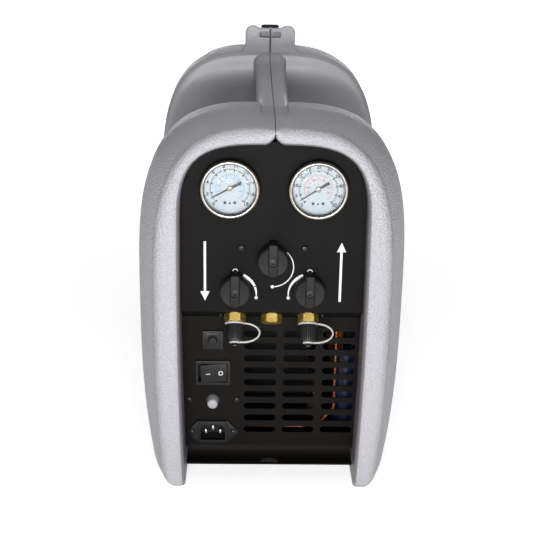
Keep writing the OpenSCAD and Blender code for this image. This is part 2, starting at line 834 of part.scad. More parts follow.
module gauge_case() {
  rotate_extrude() polygon([
    [0, -gauge_depth], [case_r, -gauge_depth], [case_r, 0], [bezel_r - 0.6, 0],
    [bezel_r - 0.6, lens_z - 0.1], [case_r + 0.2, lens_z - 0.1], [case_r + 0.2, dial_z],
    [case_r - 1.4, dial_z], [case_r - 1.4, 1.5 - gauge_depth], [3, 1.5 - gauge_depth],
    [3, -4], [pointer_r + running, -4], [pointer_r + running, 2 - gauge_depth], [0, 2 - gauge_depth]]);
  translate([0, 0, -gauge_depth - gauge_stem_l]) cylinder(r = gauge_stem_r, h = gauge_stem_l + 0.5);
  translate([0, 0, -gauge_depth - 8]) linear_extrude(6) hexagon(14);
}

module gauge_cases() {
  color(black) for (x = gauge_xs) facing(x, panel_y, gauge_z) gauge_case();
}

module gauge_bezels() {
  color(steel) for (x = gauge_xs) facing(x, panel_y, gauge_z) rotate_extrude() polygon([
    [bezel_r - 0.5, 0], [bezel_r, 0], [bezel_r, gauge_proud - 1], [bezel_r - 1, gauge_proud],
    [bezel_r - 3.8, gauge_proud], [bezel_r - 4, gauge_proud - lip_t], [bezel_r - 0.5, gauge_proud - lip_t]]);
}

module gauge_lenses() {
  color("#dfe8ea", 0.3) for (x = gauge_xs) facing(x, panel_y, gauge_z)
    translate([0, 0, lens_z]) cylinder(r = bezel_r - 0.6, h = lens_t);
}

module dial(x) {
  color("white") facing(x, panel_y, gauge_z) translate([0, 0, dial_z]) difference() {
    cylinder(r = case_r, h = dial_t);
    translate([0, 0, -1]) cylinder(r = pointer_r + 0.2, h = dial_t + 2);
  }
}

module input_dial() {
  dial(gauge_xs[0]);
}

module output_dial() {
  dial(gauge_xs[1]);
}

module pointer(x, rest) {
  tip = case_r - 5;
  color(black) facing(x, panel_y, gauge_z) {
    translate([0, 0, 2.3 - gauge_depth]) cylinder(r = pointer_r, h = gauge_depth + 0.5);
    translate([0, 0, dial_z + dial_t + 0.5]) {
      cylinder(r = 2.8, h = 1.4);
      rotate([0, 0, rest]) linear_extrude(0.6)
        polygon([[-9, -1.6], [-2, -1.1], [tip - 3, -0.5], [tip, 0], [tip - 3, 0.5], [-2, 1.1], [-9, 1.6]]);
    }
  }
}

module input_gauge_pointer() {
  pointer(gauge_xs[0], pointer_rest[0]);
}

module output_gauge_pointer() {
  pointer(gauge_xs[1], pointer_rest[1]);
}

// Valve manifold: one block behind the control panel, on the ledge

manifold_back = panel_back + manifold_d;
stem_depth = 24;
stem_end = 5;
passage_r = 2;
pipe_r = 3.2;

module valve_manifold() {
  function on_ledge(y) = ledge_top + ledge_rise - (y - panel_y) * tan(ledge_slope);
  color("#b4b4b0") difference() {
    along_x(-manifold_w / 2, manifold_w / 2) polygon([
      [panel_back, on_ledge(panel_back)], [panel_back, manifold_top], [manifold_back, manifold_top],
      [manifold_back, on_ledge(grille_back)], [grille_back, on_ledge(grille_back)]]);
    for (v = valves) facing(v[0], panel_back + stem_depth + 0.5, v[1])
      cylinder(r = stem_d / 2 + running, h = stem_depth + 2);
    for (x = ports) at_port(x) translate([0, 0, -port_stub_l - 0.5])
      cylinder(r = port_stub_r + running, h = port_stub_l + 2);
    for (v = valves) translate([v[0], panel_back + 0.6 * stem_depth, ledge_top + 8])
      cylinder(r = passage_r, h = v[1] - ledge_top - 8);
    for (side = [-1, 1]) {
      facing(side * manifold_screw[0], panel_back + 13, manifold_screw[1])
        cylinder(r = panel_screw_r + running, h = 14);
      at_port(side * ledge_screw_x, ledge_screw_down) translate([0, 0, -11])
        cylinder(r = panel_screw_r + running, h = 12);
    }
  }
}

// Knobs on their stems

knob_gap = 1.5;
knob_disc_h = knob_h - 2;
bar_lift = 2.2;
bar_over = 1.1;
knob_screw_r = 2;
knob_head_r = 3.6;
knob_head_h = 3;

module stem(v) {
  color(steel) facing(v[0], panel_y, v[1]) difference() {
    translate([0, 0, -sheet - stem_depth])
      cylinder(d = stem_d, h = sheet + stem_depth + knob_h - stem_end - knob_head_h);
    translate([0, 0, knob_h - stem_end - knob_head_h - 9]) cylinder(r = knob_screw_r + running, h = 10);
  }
}

module knob(v) {
  reach = knob_d / 2;
  color("#2c2c2e") facing(v[0], panel_y, v[1]) difference() {
    union() {
      translate([0, 0, knob_gap]) cylinder(r = reach, h = knob_disc_h - knob_gap);
      translate([0, 0, knob_gap]) linear_extrude(knob_h - knob_gap) intersection() {
        square([grip_w, 3 * reach], center = true);
        translate([0, bar_lift]) circle(reach + bar_over);
      }
    }
    translate([0, 0, -1]) cylinder(d = stem_d + 2 * running, h = knob_h - stem_end - knob_head_h + 1.2);
    cylinder(r = knob_screw_r + beside, h = knob_h);
    translate([0, 0, knob_h - knob_head_h - 0.5]) cylinder(r = knob_head_r + beside, h = knob_head_h + 1);
  }
}

module knob_screw(v) {
  color(dark_steel) facing(v[0], panel_y, v[1]) translate([0, 0, knob_h - knob_head_h - 0.5])
    difference() {
      union() {
        cylinder(r = knob_head_r, h = knob_head_h);
        translate([0, 0, -9]) cylinder(r = knob_screw_r, h = 9.5);
      }
      translate([0, 0, 0.5 * knob_head_h]) linear_extrude(knob_head_h) hexagon(3);
    }
}

module input_stem() {
  stem(valves[0]);
}

module recover_stem() {
  stem(valves[1]);
}

module output_stem() {
  stem(valves[2]);
}

module input_knob() {
  knob(valves[0]);
}

module recover_knob() {
  knob(valves[1]);
}

module output_knob() {
  knob(valves[2]);
}

module input_knob_screw() {
  knob_screw(valves[0]);
}

module recover_knob_screw() {
  knob_screw(valves[1]);
}

module output_knob_screw() {
  knob_screw(valves[2]);
}

// Service ports, their caps and the cap straps

thread_r = port_thread_d / 2;
strap_t = 1.6;
cap_z = port_hex_l + strap_t + 2 * beside;
thread_l = cap_l - 3;
nub_r = 2.6;
nub_l = 5;
strap_ring_r = port_hex / 2 + 1;
strap_band = 2.8;
cap_ribs = 16;

module port(x, hex_l, l) {
  color(brass) at_port(x) difference() {
    union() {
      translate([0, 0, -port_stub_l]) cylinder(r = port_stub_r, h = port_stub_l);
      if (hex_l > 0) linear_extrude(hex_l) hexagon(port_hex);
      translate([0, 0, -1]) cylinder(r = thread_r, h = l + 1);
    }
    translate([0, 0, -port_stub_l - 1]) cylinder(r = passage_r, h = port_stub_l + l + 2);
  }
}

module input_port() {
  port(ports[0], port_hex_l, cap_z + thread_l);
}

module output_port() {
  port(ports[2], port_hex_l, cap_z + thread_l);
}

module purge_port() {
  port(ports[1], 0, purge_cap_l - 2);
}

module cap(x) {
  color(black) at_port(x) translate([0, 0, cap_z]) difference() {
    union() {
      linear_extrude(cap_l) {
        circle(cap_d / 2 - 0.6);
        for (k = [1:cap_ribs]) rotate(k * 360 / cap_ribs)
          translate([0, -0.6]) square([cap_d / 2, 1.2]);
      }
      cylinder(r = nub_r, h = cap_l + nub_l);
      translate([0, 0, cap_l + nub_l - 1.4]) cylinder(r = nub_r + 0.9, h = 1.4);
    }
    translate([0, 0, -1]) cylinder(r = thread_r + beside / 2, h = thread_l + 1.5);
  }
}

module input_cap() {
  cap(ports[0]);
}

module output_cap() {
  cap(ports[2]);
}

module purge_cap() {
  color(brass) at_port(ports[1]) translate([0, 0, beside]) difference() {
    linear_extrude(purge_cap_l) hexagon(port_hex);
    translate([0, 0, -1]) cylinder(r = thread_r + beside / 2, h = purge_cap_l - 1);
  }
}

module cap_strap(x) {
  neck_z = port_hex_l + beside;
  nub_z = cap_z + cap_l + beside;
  rise = (nub_z + strap_t - neck_z) / 2;
  loop_x = strap_ring_r - 2;
  loop_a = strap_reach - loop_x;
  color("#b9b7b2") at_port(x) {
    translate([0, 0, neck_z]) linear_extrude(strap_t) difference() {
      circle(strap_ring_r);
      circle(thread_r + beside);
    }
    translate([0, 0, nub_z]) linear_extrude(strap_t) {
      difference() {
        circle(nub_r + 2.6);
        circle(nub_r + beside);
      }
      translate([nub_r + 1.5, -strap_band / 2]) square([loop_x - nub_r - 1, strap_band]);
    }
    translate([0, 0, neck_z + rise]) rotate([90, 0, 0])
      linear_extrude(strap_band, center = true) polygon(concat(
        [for (i = [-9:9]) [loop_x + loop_a * cos(10 * i), rise * sin(10 * i)]],
        [for (i = [9:-1:-9])
          [loop_x + (loop_a - strap_t) * cos(10 * i), (rise - strap_t) * sin(10 * i)]]));
  }
}

module input_cap_strap() {
  cap_strap(ports[0]);
}

module output_cap_strap() {
  cap_strap(ports[2]);
}

// Rocker switch: frame with two pivot holes, and a dished rocker that turns about an upright pin

rocker_depth = 22;
rocker_flange = 2.5;
rocker_pocket = [28, 19.6];
rocker_pin_r = 1.5;
rocker_pin_z = -4;
rocker_size = [25.6, 18.8];

module switch_frame() {
  color(black) facing(control_x, grille_y, rocker_z) difference() {
    union() {
      linear_extrude(rocker_flange) rounded(rocker_w, rocker_h, 1.5);
      translate([0, 0, -rocker_depth]) linear_extrude(rocker_depth + 0.5) square(rocker_body, center = true);
    }
    translate([0, 0, -10]) linear_extrude(20) square(rocker_pocket, center = true);
    translate([0, 0, rocker_pin_z]) rotate([90, 0, 0])
      cylinder(r = rocker_pin_r + running, h = rocker_pocket[1] + 1.6, center = true);
  }
}

module power_rocker() {
  half = rocker_size[0] / 2;
  color("#222224") facing(control_x, grille_y, rocker_z) translate([0, 0, rocker_pin_z])
    rotate([0, rocker_tilt, 0]) {
      rotate([90, 0, 0]) linear_extrude(rocker_size[1], center = true) polygon([
        [-5, -3], [5, -3], [half - 1, 4.5], [half - 0.2, 8], [0.4 * half, 7], [-0.4 * half, 7],
        [0.2 - half, 8], [1 - half, 4.5]]);
      rotate([90, 0, 0]) cylinder(r = rocker_pin_r, h = rocker_pocket[1] + 1.2, center = true);
    }
}

// Circuit breaker with a push button

breaker_depth = 26;
breaker_button_r = 4;

module breaker_body() {
  color(black) facing(control_x, grille_y, breaker_z) difference() {
    union() {
      linear_extrude(2) square(breaker_w * [1, 0.94], center = true);
      translate([0, 0, -breaker_depth]) linear_extrude(breaker_depth + 0.5)
        square(breaker_body_w, center = true);
      cylinder(r = breaker_button_r + 1.6, h = 3);
    }
    translate([0, 0, -12]) cylinder(r = breaker_button_r + running, h = 20);
  }
}

module breaker_button() {
  color("#303033") facing(control_x, grille_y, breaker_z) translate([0, 0, -11.8])
    cylinder(r = breaker_button_r, h = 16.3);
}

// High-pressure switch on a bracket behind the grille, with its reset button through the front

switch_can_r = 12;
switch_can_l = 36;

module pressure_switch() {
  color(dark_steel) facing(control_x, grille_y, reset_z) difference() {
    union() {
      translate([0, 0, -sheet - switch_can_l]) cylinder(r = switch_can_r, h = switch_can_l);
      translate([0, -0.8, -2 * sheet]) linear_extrude(sheet) square([2 * reset_screw + 8, 9], center = true);
      translate([0, 0, -sheet - 1]) cylinder(r = bush_r, h = sheet + 2.5);
    }
    translate([0, 0, -14]) cylinder(r = reset_d / 2 + running, h = 20);
    for (side = [-1, 1]) translate([side * reset_screw, -0.8, -10])
      cylinder(r = panel_screw_r + 0.15, h = 12);
  }
}

module reset_button() {
  color("#8b8b8f") facing(control_x, grille_y, reset_z) translate([0, 0, -9])
    cylinder(d = reset_d, h = 9 + reset_proud);
}

// Three-pin mains inlet

inlet_flange_t = 3.5;
inlet_depth = 16;
inlet_cavity = [24, 16.4];
pin_size = [2, 4];
pin_places = [[-7, -2], [0, 2], [7, -2]];

module inlet_socket() {
  color(black) facing(control_x, grille_y, inlet_z) difference() {
    union() {
      linear_extrude(inlet_flange_t) hull() {
        square([inlet_body[0] + 2, inlet_h], center = true);
        for (side = [-1, 1]) translate([side * (inlet_w / 2 - 4), 0]) circle(4);
      }
      translate([0, 0, -inlet_depth]) linear_extrude(inlet_depth + 0.5) square(inlet_body, center = true);
    }
    translate([0, 0, -inlet_depth + 3]) linear_extrude(inlet_depth + inlet_flange_t)
      polygon([[-12, -8.2], [12, -8.2], [12, 4.2], [8, 8.2], [-8, 8.2], [-12, 4.2]] / 24 * inlet_cavity[0]);
    for (p = pin_places) translate([p[0], p[1], -inlet_depth - 1]) linear_extrude(5)
      square(pin_size + 0.1 * [1, 1], center = true);
    for (side = [-1, 1]) translate([side * inlet_ear, 0, -1]) cylinder(r = panel_screw_r + 0.15, h = 9);
  }
}

module inlet_pins() {
  color(steel) facing(control_x, grille_y, inlet_z) for (p = pin_places)
    translate([p[0], p[1], -inlet_depth - 7]) linear_extrude(inlet_depth + 5) square(pin_size, center = true);
}

// Compressor: crankcase on a base plate, cylinder head, and a motor on a saddle

base_z = tray_top + mount_h;
base_half = mount_x + 10;
base_top = base_z + base_t;
crank_top = base_top + crank_h;
motor_back_y = crank_y + motor_l;

module compressor_mounts() {
  color(black) for (x = [-mount_x, mount_x], y = mount_ys) translate([x, y, tray_top]) difference() {
    cylinder(r = mount_r, h = mount_h);
    translate([0, 0, -1]) cylinder(r = bolt_r + beside, h = mount_h + 2);
  }
}

module mount_bolts() {
  color(steel) for (x = [-mount_x, mount_x], y = mount_ys) translate([x, y, base_top]) {
    linear_extrude(4) hexagon(10);
    translate([0, 0, floor_z - base_top + 0.2]) cylinder(r = bolt_r, h = base_top - floor_z);
  }
}

module crankcase() {
  color("#8c8e92") difference() {
    union() {
      translate([-base_half, base_front_y, base_z]) cube([2 * base_half, base_back_y - base_front_y, base_t]);
      translate([-crank_w / 2, crank_y - crank_l, base_top - 0.5]) cube([crank_w, crank_l, crank_h + 0.5]);
      translate([0, crank_y - crank_l - 4, shaft_z]) rotate([-90, 0, 0]) cylinder(r = 0.42 * crank_w, h = 5);
    }
    for (x = [-mount_x, mount_x], y = mount_ys) translate([x, y, base_z - 1])
      cylinder(r = bolt_r + beside, h = base_t + 2);
  }
}

module cylinder_head() {
  head_w = crank_w - 8;
  head_l = crank_l - 12;
  color("#a9abae") translate([-head_w / 2, crank_y - crank_l + 6, crank_top]) difference() {
    cube([head_w, head_l, head_h]);
    for (x = [head_w / 8:head_w / 8:head_w - 5]) translate([x - 2, -1, 0.4 * head_h])
      cube([4, head_l + 2, head_h]);
  }
}

shaft_in = 40;
module compressor_motor() {
  box = [17, 30, 30];
  color("#3b3d42") difference() {
    union() {
      translate([0, crank_y, shaft_z]) rotate([-90, 0, 0]) cylinder(r = motor_r, h = motor_l);
      translate([-0.7 * motor_r, crank_y + 0.25 * motor_l, base_top])
        cube([1.4 * motor_r, 0.5 * motor_l, shaft_z - base_top]);
      translate([-motor_r - 12, crank_y + 30, shaft_z - 10]) cube(box);
    }
    translate([0, motor_back_y - shaft_in - 0.5, shaft_z]) rotate([-90, 0, 0])
      cylinder(d = shaft_d + 2 * running, h = shaft_in + 2);
  }
}

// Motor shaft, fan, shroud and condenser

fan_y = motor_back_y + 9;
shroud_plate_y = fan_y + fan_d + 4;
shroud_gap = 3;
shroud_t = 2;
coil_y = shroud_plate_y + shroud_t;
coil_z = tray_top + coil_h / 2;
hub_r = 20;
tube_r = 4.76;
fin_t = 0.8;

module motor_shaft() {
  color(steel) translate([0, motor_back_y - shaft_in, shaft_z]) rotate([-90, 0, 0])
    cylinder(d = shaft_d, h = fan_y + fan_d - motor_back_y + shaft_in);
}

module fan_rotor() {
  color("#3a3a3d") translate([0, fan_y, shaft_z]) rotate([-90, 0, 0]) difference() {
    union() {
      cylinder(r = hub_r, h = fan_d);
      for (k = [1:fan_blades]) rotate([0, 0, k * 360 / fan_blades])
        translate([hub_r - 2, 0, fan_d / 2]) rotate([35, 0, 0])
          translate([0, -0.6 * fan_d, -1]) cube([fan_r - hub_r - 2, 1.2 * fan_d, 2]);
    }
    translate([0, 0, -fan_d]) cylinder(d = shaft_d + 2 * running, h = 3 * fan_d);
  }
}

module fan_shroud() {
  color(dark_steel) difference() {
    union() {
      translate([-coil_w / 2, shroud_plate_y, tray_top]) cube([coil_w, shroud_t, coil_h]);
      translate([0, fan_y - 2, shaft_z]) rotate([-90, 0, 0])
        cylinder(r = fan_r + shroud_gap + shroud_t, h = shroud_plate_y - fan_y + 3);
    }
    translate([0, fan_y - 3, shaft_z]) rotate([-90, 0, 0])
      cylinder(r = fan_r + shroud_gap, h = shroud_plate_y - fan_y + 10);
  }
}

row_pitch = (coil_h - 28) / (coil_rows - 1);
function row_z(i) = tray_top + 14 + i * row_pitch;
tube_y = coil_y + coil_d / 2;
tube_half = coil_w / 2 - 1;
coil_bend = 0.45 * row_pitch;

module condenser_fins() {
  fin_pitch = (coil_w - 2 * coil_bend - 8) / (fin_count - 1);
  color(steel) for (i = [0:fin_count - 1])
    let (fin_x = (i - (fin_count - 1) / 2) * fin_pitch)
    along_x(fin_x - fin_t / 2, fin_x + fin_t / 2)
      difference() {
        translate([coil_y, tray_top]) square([coil_d, coil_h]);
        for (r = [0:coil_rows - 1]) translate([tube_y, row_z(r)]) circle(tube_r + running);
      }
}

// One tube that runs to and fro through the fins, from the top right to the bottom right
module condenser_tubes() {
  run = [for (i = [coil_rows - 1:-1:0])
    let (side = i % 2 == 1 ? 1 : -1)
    each [[side * tube_half, tube_y, row_z(i)], [-side * tube_half, tube_y, row_z(i)]]];
  color(copper) pipe(run, tube_r, coil_bend, 12);
}

// Copper pipes, each meeting its fittings end to end

gallery_y = panel_back + 0.8 * manifold_d;
coil_in = [tube_half, tube_y, row_z(coil_rows - 1)];
coil_out = [tube_half, tube_y, row_z(0)];
pipe_x = 70;
crank_mid_y = crank_y - crank_l / 2;

module suction_pipe() {
  start = [-manifold_w / 2 - beside, gallery_y, recover_z];
  color(copper) pipe([start, [-pipe_x, gallery_y, recover_z],
    [-pipe_x, crank_y - 1.25 * crank_l, recover_z - 20],
    [-pipe_x, crank_mid_y, 1.2 * shaft_z], [-crank_w / 2 - beside, crank_mid_y, 1.2 * shaft_z]], pipe_r, 10);
}

module discharge_pipe() {
  head_mid_z = crank_top + head_h / 2;
  color(copper) pipe([[crank_w / 2 - 4 + beside, crank_mid_y, crank_top + 0.2 * head_h],
    [pipe_x, crank_mid_y, crank_top + 0.2 * head_h], [pipe_x, crank_y + crank_l, head_mid_z + 30],
    [tube_half + 10, tube_y - 20, row_z(coil_rows - 1)],
    [tube_half + 10, tube_y, row_z(coil_rows - 1)], coil_in + [beside, 0, 0]], pipe_r, 5);
}

module liquid_pipe() {
  color(copper) pipe([coil_out + [beside, 0, 0], [tube_half + 10, tube_y, row_z(0)],
    [tube_half + 10, tube_y - 30, row_z(0)], [pipe_x, crank_y + 0.75 * crank_l, 0.6 * shaft_z],
    [pipe_x, crank_y - 0.9375 * crank_l, 0.6 * shaft_z],
    [pipe_x + 6, crank_y - 1.5 * crank_l, belt_z], [pipe_x + 6, gallery_y, valve_z],
    [manifold_w / 2 + beside, gallery_y, valve_z]], pipe_r, 6);
}

sense_r = 1.6;
switch_line_x = 64;
switch_line_y = grille_back + 20.5;
switch_line_low = 55;
module sensing_lines() {
  stem_y = panel_y + gauge_depth + gauge_stem_l + beside;
  can_y = grille_back + switch_can_l - 8;
  color(copper) {
    for (x = gauge_xs) pipe([[x, stem_y, gauge_z], [x, stem_y + 11, gauge_z],
      [x, stem_y + 11, recover_z], [x, manifold_back + beside, recover_z]], sense_r, 5, 8);
    pipe([[manifold_w / 2 + beside, gallery_y + 4, recover_z - 12],
      [switch_line_x, gallery_y + 4, recover_z - 12], [switch_line_x, switch_line_y, ledge_top],
      [switch_line_x, switch_line_y, switch_line_low],
      [switch_line_x - 12, switch_line_y, switch_line_low - 14],
      [switch_line_x - 30, switch_line_y + 6, 31], [control_x + 20, can_y, 31], [control_x, can_y, 36],
      [control_x, can_y, reset_z - switch_can_r - beside]], sense_r, 4, 8);
  }
}

module run_capacitor() {
  color("#1c2748") translate([capacitor_x, capacitor_y, tray_top]) {
    cylinder(r = capacitor_r, h = capacitor_h);
    for (x = [-5, 5]) translate([x - 0.5, -3, capacitor_h - 1]) cube([1, 6, 9]);
  }
}

module wiring_loom() {
  wire = 1.8;
  inlet_y = grille_y + inlet_depth + 7 + beside;
  rocker_y = grille_y + rocker_depth + beside;
  breaker_y = grille_y + breaker_depth + beside;
  box_x = -motor_r - 12 - beside;
  box_y = crank_y + 45;
  loom_y = grille_back + 47.5;
  color(black) {
    pipe([[control_x - 7, inlet_y, inlet_z - 2], [control_x - 7, loom_y, inlet_z - 2],
      [control_x - 16, loom_y, rocker_z - 20], [control_x - 8, loom_y, rocker_z - 4],
      [control_x - 8, rocker_y, rocker_z - 4]], wire, 5, 8);
    pipe([[control_x + 8, rocker_y, rocker_z + 4], [control_x + 8, loom_y, rocker_z + 4],
      [control_x + 3, loom_y, breaker_z], [control_x + 3, breaker_y, breaker_z]], wire, 5, 8);
    pipe([[control_x - 4, breaker_y, breaker_z], [control_x - 4, loom_y + 8, breaker_z],
      [control_x - 25, loom_y + 28, shaft_z + 15], [control_x - 25, box_y, shaft_z + 10],
      [box_x, box_y, shaft_z + 10]], wire, 5, 8);
  }
}

left_casing();
right_casing();
control_panel();
front_grille();
rear_panel();
base_tray();
front_hoop();
rear_hoop();
top_bumper();
casing_screws();
panel_screws();
gauge_cases();
gauge_bezels();
gauge_lenses();
input_dial();
output_dial();
input_gauge_pointer();
output_gauge_pointer();
valve_manifold();
recover_stem();
input_stem();
output_stem();
recover_knob();
input_knob();
output_knob();
recover_knob_screw();
input_knob_screw();
output_knob_screw();
input_port();
output_port();
purge_port();
input_cap();
output_cap();
purge_cap();
input_cap_strap();
output_cap_strap();
switch_frame();
power_rocker();
breaker_body();
breaker_button();
pressure_switch();
reset_button();
inlet_socket();
inlet_pins();
compressor_motor();
crankcase();
cylinder_head();
compressor_mounts();
mount_bolts();
motor_shaft();
fan_rotor();
fan_shroud();
condenser_fins();
condenser_tubes();
suction_pipe();
discharge_pipe();
liquid_pipe();
sensing_lines();
run_capacitor();
wiring_loom();
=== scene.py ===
from math import asin, cos, pi, radians, sin, tan

import bpy
from mathutils import Matrix, Vector


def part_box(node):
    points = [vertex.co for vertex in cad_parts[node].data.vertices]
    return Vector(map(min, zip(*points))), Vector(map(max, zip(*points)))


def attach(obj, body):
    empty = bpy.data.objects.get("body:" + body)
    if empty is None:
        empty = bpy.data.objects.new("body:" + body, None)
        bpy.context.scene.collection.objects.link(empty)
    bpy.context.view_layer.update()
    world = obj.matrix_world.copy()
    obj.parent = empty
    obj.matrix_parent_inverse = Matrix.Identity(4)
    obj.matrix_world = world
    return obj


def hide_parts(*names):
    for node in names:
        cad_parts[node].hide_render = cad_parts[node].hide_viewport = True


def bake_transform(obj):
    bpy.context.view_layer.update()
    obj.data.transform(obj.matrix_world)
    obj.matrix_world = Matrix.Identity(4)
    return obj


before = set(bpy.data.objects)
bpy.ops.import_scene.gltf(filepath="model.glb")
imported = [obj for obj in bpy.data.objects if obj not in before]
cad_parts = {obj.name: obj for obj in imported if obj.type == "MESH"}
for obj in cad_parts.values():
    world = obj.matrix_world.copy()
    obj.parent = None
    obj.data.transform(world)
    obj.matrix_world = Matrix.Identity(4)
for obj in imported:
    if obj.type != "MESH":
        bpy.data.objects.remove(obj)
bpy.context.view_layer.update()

MM = 0.001

# Studio: a white sweep, two low softboxes in front and a higher one for the rear
# rim, weak ones overhead and at the sides, and one behind. The camera is a metre
# in front and looks down by twenty degrees with a slight lean.
class Shade:
    """One output of a shader node: arithmetic adds Math nodes, node() adds any other."""

    def __init__(self, tree, socket=None):
        self.tree = tree
        self.socket = socket

    def node(self, kind, settings=None, inputs=None, out=0):
        made = self.tree.nodes.new("ShaderNode" + kind)
        for key, value in (settings or {}).items():
            if key == "stops":
                ramp = made.color_ramp.elements
                while len(ramp) < len(value):
                    ramp.new(0.5)
                for stop, (at, colour) in zip(ramp, value):
                    stop.position = at
                    stop.color = (*colour, 1)
            else:
                setattr(made, key, value)
        for key, value in (inputs or {}).items():
            if isinstance(value, Shade):
                self.tree.links.new(value.socket, made.inputs[key])
            else:
                made.inputs[key].default_value = value
        return Shade(self.tree, made.outputs[out]) if made.outputs else None

    def math(self, operation, *values):
        return self.node("Math", {"operation": operation}, dict(enumerate(values)))

    def __add__(self, other):
        return self.math("ADD", self, other)

    def __sub__(self, other):
        return self.math("SUBTRACT", self, other)

    def __rsub__(self, other):
        return self.math("SUBTRACT", other, self)

    def __mul__(self, other):
        return self.math("MULTIPLY", self, other)

    __radd__ = __add__
    __rmul__ = __mul__

    def above(self, edge, soft):
        """0 below the edge, 1 above it, over a soft width."""
        return self.node(
            "MapRange", {"interpolation_type": "SMOOTHSTEP"},
            {"Value": self, "From Min": edge - soft, "From Max": edge + soft},
        )


def colour(r, g, b):
    """A linear colour from the 0 to 255 numbers that a screen shows."""
    return tuple((c / 255 / 12.92 if c < 11 else ((c / 255 + 0.055) / 1.055) ** 2.4)
                 for c in (r, g, b)) + (1,)


def blank_material(name):
    made = bpy.data.materials.new(name)
    made.use_nodes = True
    made.node_tree.nodes.clear()
    return made, Shade(made.node_tree)


def added(operator, name, **settings):
    """The object that an operator adds, under its name."""
    bpy.ops.object.select_all(action="DESELECT")
    operator(**settings)
    made = bpy.context.object
    made.name = name
    return made


def shown_rays(sh, mirror_share):
    """1 for rays from the camera or through glass, and a share of that for mirrored ones."""
    seen = sh.node("LightPath", out="Is Camera Ray")
    mirrored = sh.node("LightPath", out="Is Glossy Ray") * mirror_share
    through = sh.node("LightPath", out="Is Transmission Ray")
    return sh.math("MAXIMUM", seen, sh.math("MAXIMUM", mirrored, through))


floor_size, floor_white, near_glow = 14.0, 0.86, 0.66
shade_half, shade_front, shade_rear, shade_depth = 0.078, -0.18, 0.2, 0.8
floor = added(bpy.ops.mesh.primitive_grid_add, "studio_floor",
              x_subdivisions=8, y_subdivisions=8, size=floor_size)
floor_paint, sh = blank_material("studio_white")
shown = shown_rays(sh, 1.0)
spot = sh.node("TexCoord", out="Object")
distance = sh.node("VectorMath", {"operation": "LENGTH"}, {0: spot}, out="Value")
spot_x = sh.math("ABSOLUTE", sh.node("SeparateXYZ", None, {0: spot}, out="X"))
spot_y = sh.node("SeparateXYZ", None, {0: spot}, out="Y")
# Painted shade: between the feet under the machine, the floor's colour is darkened and its glow taken away.
# This stands in for the shade under the body, seen through the grille's hole.
under = (1 - spot_x.above(shade_half, 0.006)) * spot_y.above(shade_front, 0.003)
under = under * (1 - spot_y.above(shade_rear, 0.01))
matt = sh.node("BsdfDiffuse", None, {"Color": floor_white - under * shade_depth})
brightness = shown * (near_glow + distance.above(0.8, 0.5) * (1 - near_glow)) * (1 - under)
glow = sh.node("Emission", None, {"Color": (1, 1, 1, 1), "Strength": brightness})
sh.node("OutputMaterial", None, {"Surface": sh.node("AddShader", None, {0: matt, 1: glow})})
floor.data.materials.append(floor_paint)

room_light, room_mirrored = 0.07, 0.35
world = bpy.data.worlds.new("studio")
bpy.context.scene.world = world
world.use_nodes = True
world.node_tree.nodes.clear()
sh = Shade(world.node_tree)
brightness = room_light + shown_rays(sh, room_mirrored) * (1 - room_light)
room = sh.node("Background", None, {"Color": (1, 1, 1, 1), "Strength": brightness})
sh.node("OutputWorld", None, {"Surface": room})


def softbox(name, at, aim, size, watts):
    lamp = added(bpy.ops.object.light_add, name, type="AREA", location=at)
    lamp.data.shape = "RECTANGLE"
    lamp.data.size, lamp.data.size_y = size
    lamp.data.energy = watts
    lamp.rotation_euler = (Vector(aim) - Vector(at)).to_track_quat("-Z", "Y").to_euler()


softbox("left_key", (-0.16, -1.3, 0.22), (0, -0.2, 0.19), (0.4, 0.16), 6.5)
softbox("right_key", (0.3, -1.3, 0.22), (0, -0.2, 0.19), (0.4, 0.16), 2.6)
softbox("rim_light", (0.0, -1.4, 0.46), (0, 0.1, 0.35), (0.5, 0.12), 6)
softbox("overhead", (0.0, 0.0, 1.9), (0, 0, 0.2), (1.4, 1.2), 8)
softbox("left_fill", (-2.3, 0.3, 0.5), (0, 0, 0.2), (0.9, 0.9), 0.4)
softbox("right_fill", (2.3, 0.3, 0.5), (0, 0, 0.2), (0.9, 0.9), 1.2)
softbox("rear_fill", (0.0, 2.4, 0.25), (0, 0.1, 0.2), (1.4, 0.5), 15)

view_up, view_side, lean = radians(20), radians(-1.45), radians(1.1)
view_distance, focal_pixels, picture_pixels, sensor_mm = 1.0, 1120, 550, 36
view_aim = Vector((1.75, -225, 216)) * MM
away = Vector((sin(view_side) * cos(view_up), -cos(view_side) * cos(view_up), sin(view_up)))
level = Vector((0, 0, 1)).cross(away).normalized()
upright = away.cross(level)
right = level * cos(lean) + upright * sin(lean)
up = upright * cos(lean) - level * sin(lean)
camera = added(bpy.ops.object.camera_add, "photo_camera")
camera.data.sensor_width = sensor_mm
camera.data.lens = focal_pixels / picture_pixels * sensor_mm
camera.matrix_world = Matrix.Translation(view_aim + away * view_distance) @ Matrix(
    (right, up, away)).transposed().to_4x4()
bpy.context.scene.camera = camera
bpy.context.scene.view_settings.view_transform = "Standard"

# Casing halves: two rotationally moulded polyethylene shells, left and right,
# with pebbled bands at both ends and a satin waist between them. They meet on
# the centre seam and are screwed together through the bands.
belt, foot_r, leg_half, seam = 180.0, 12.0, 80.4, 0.7
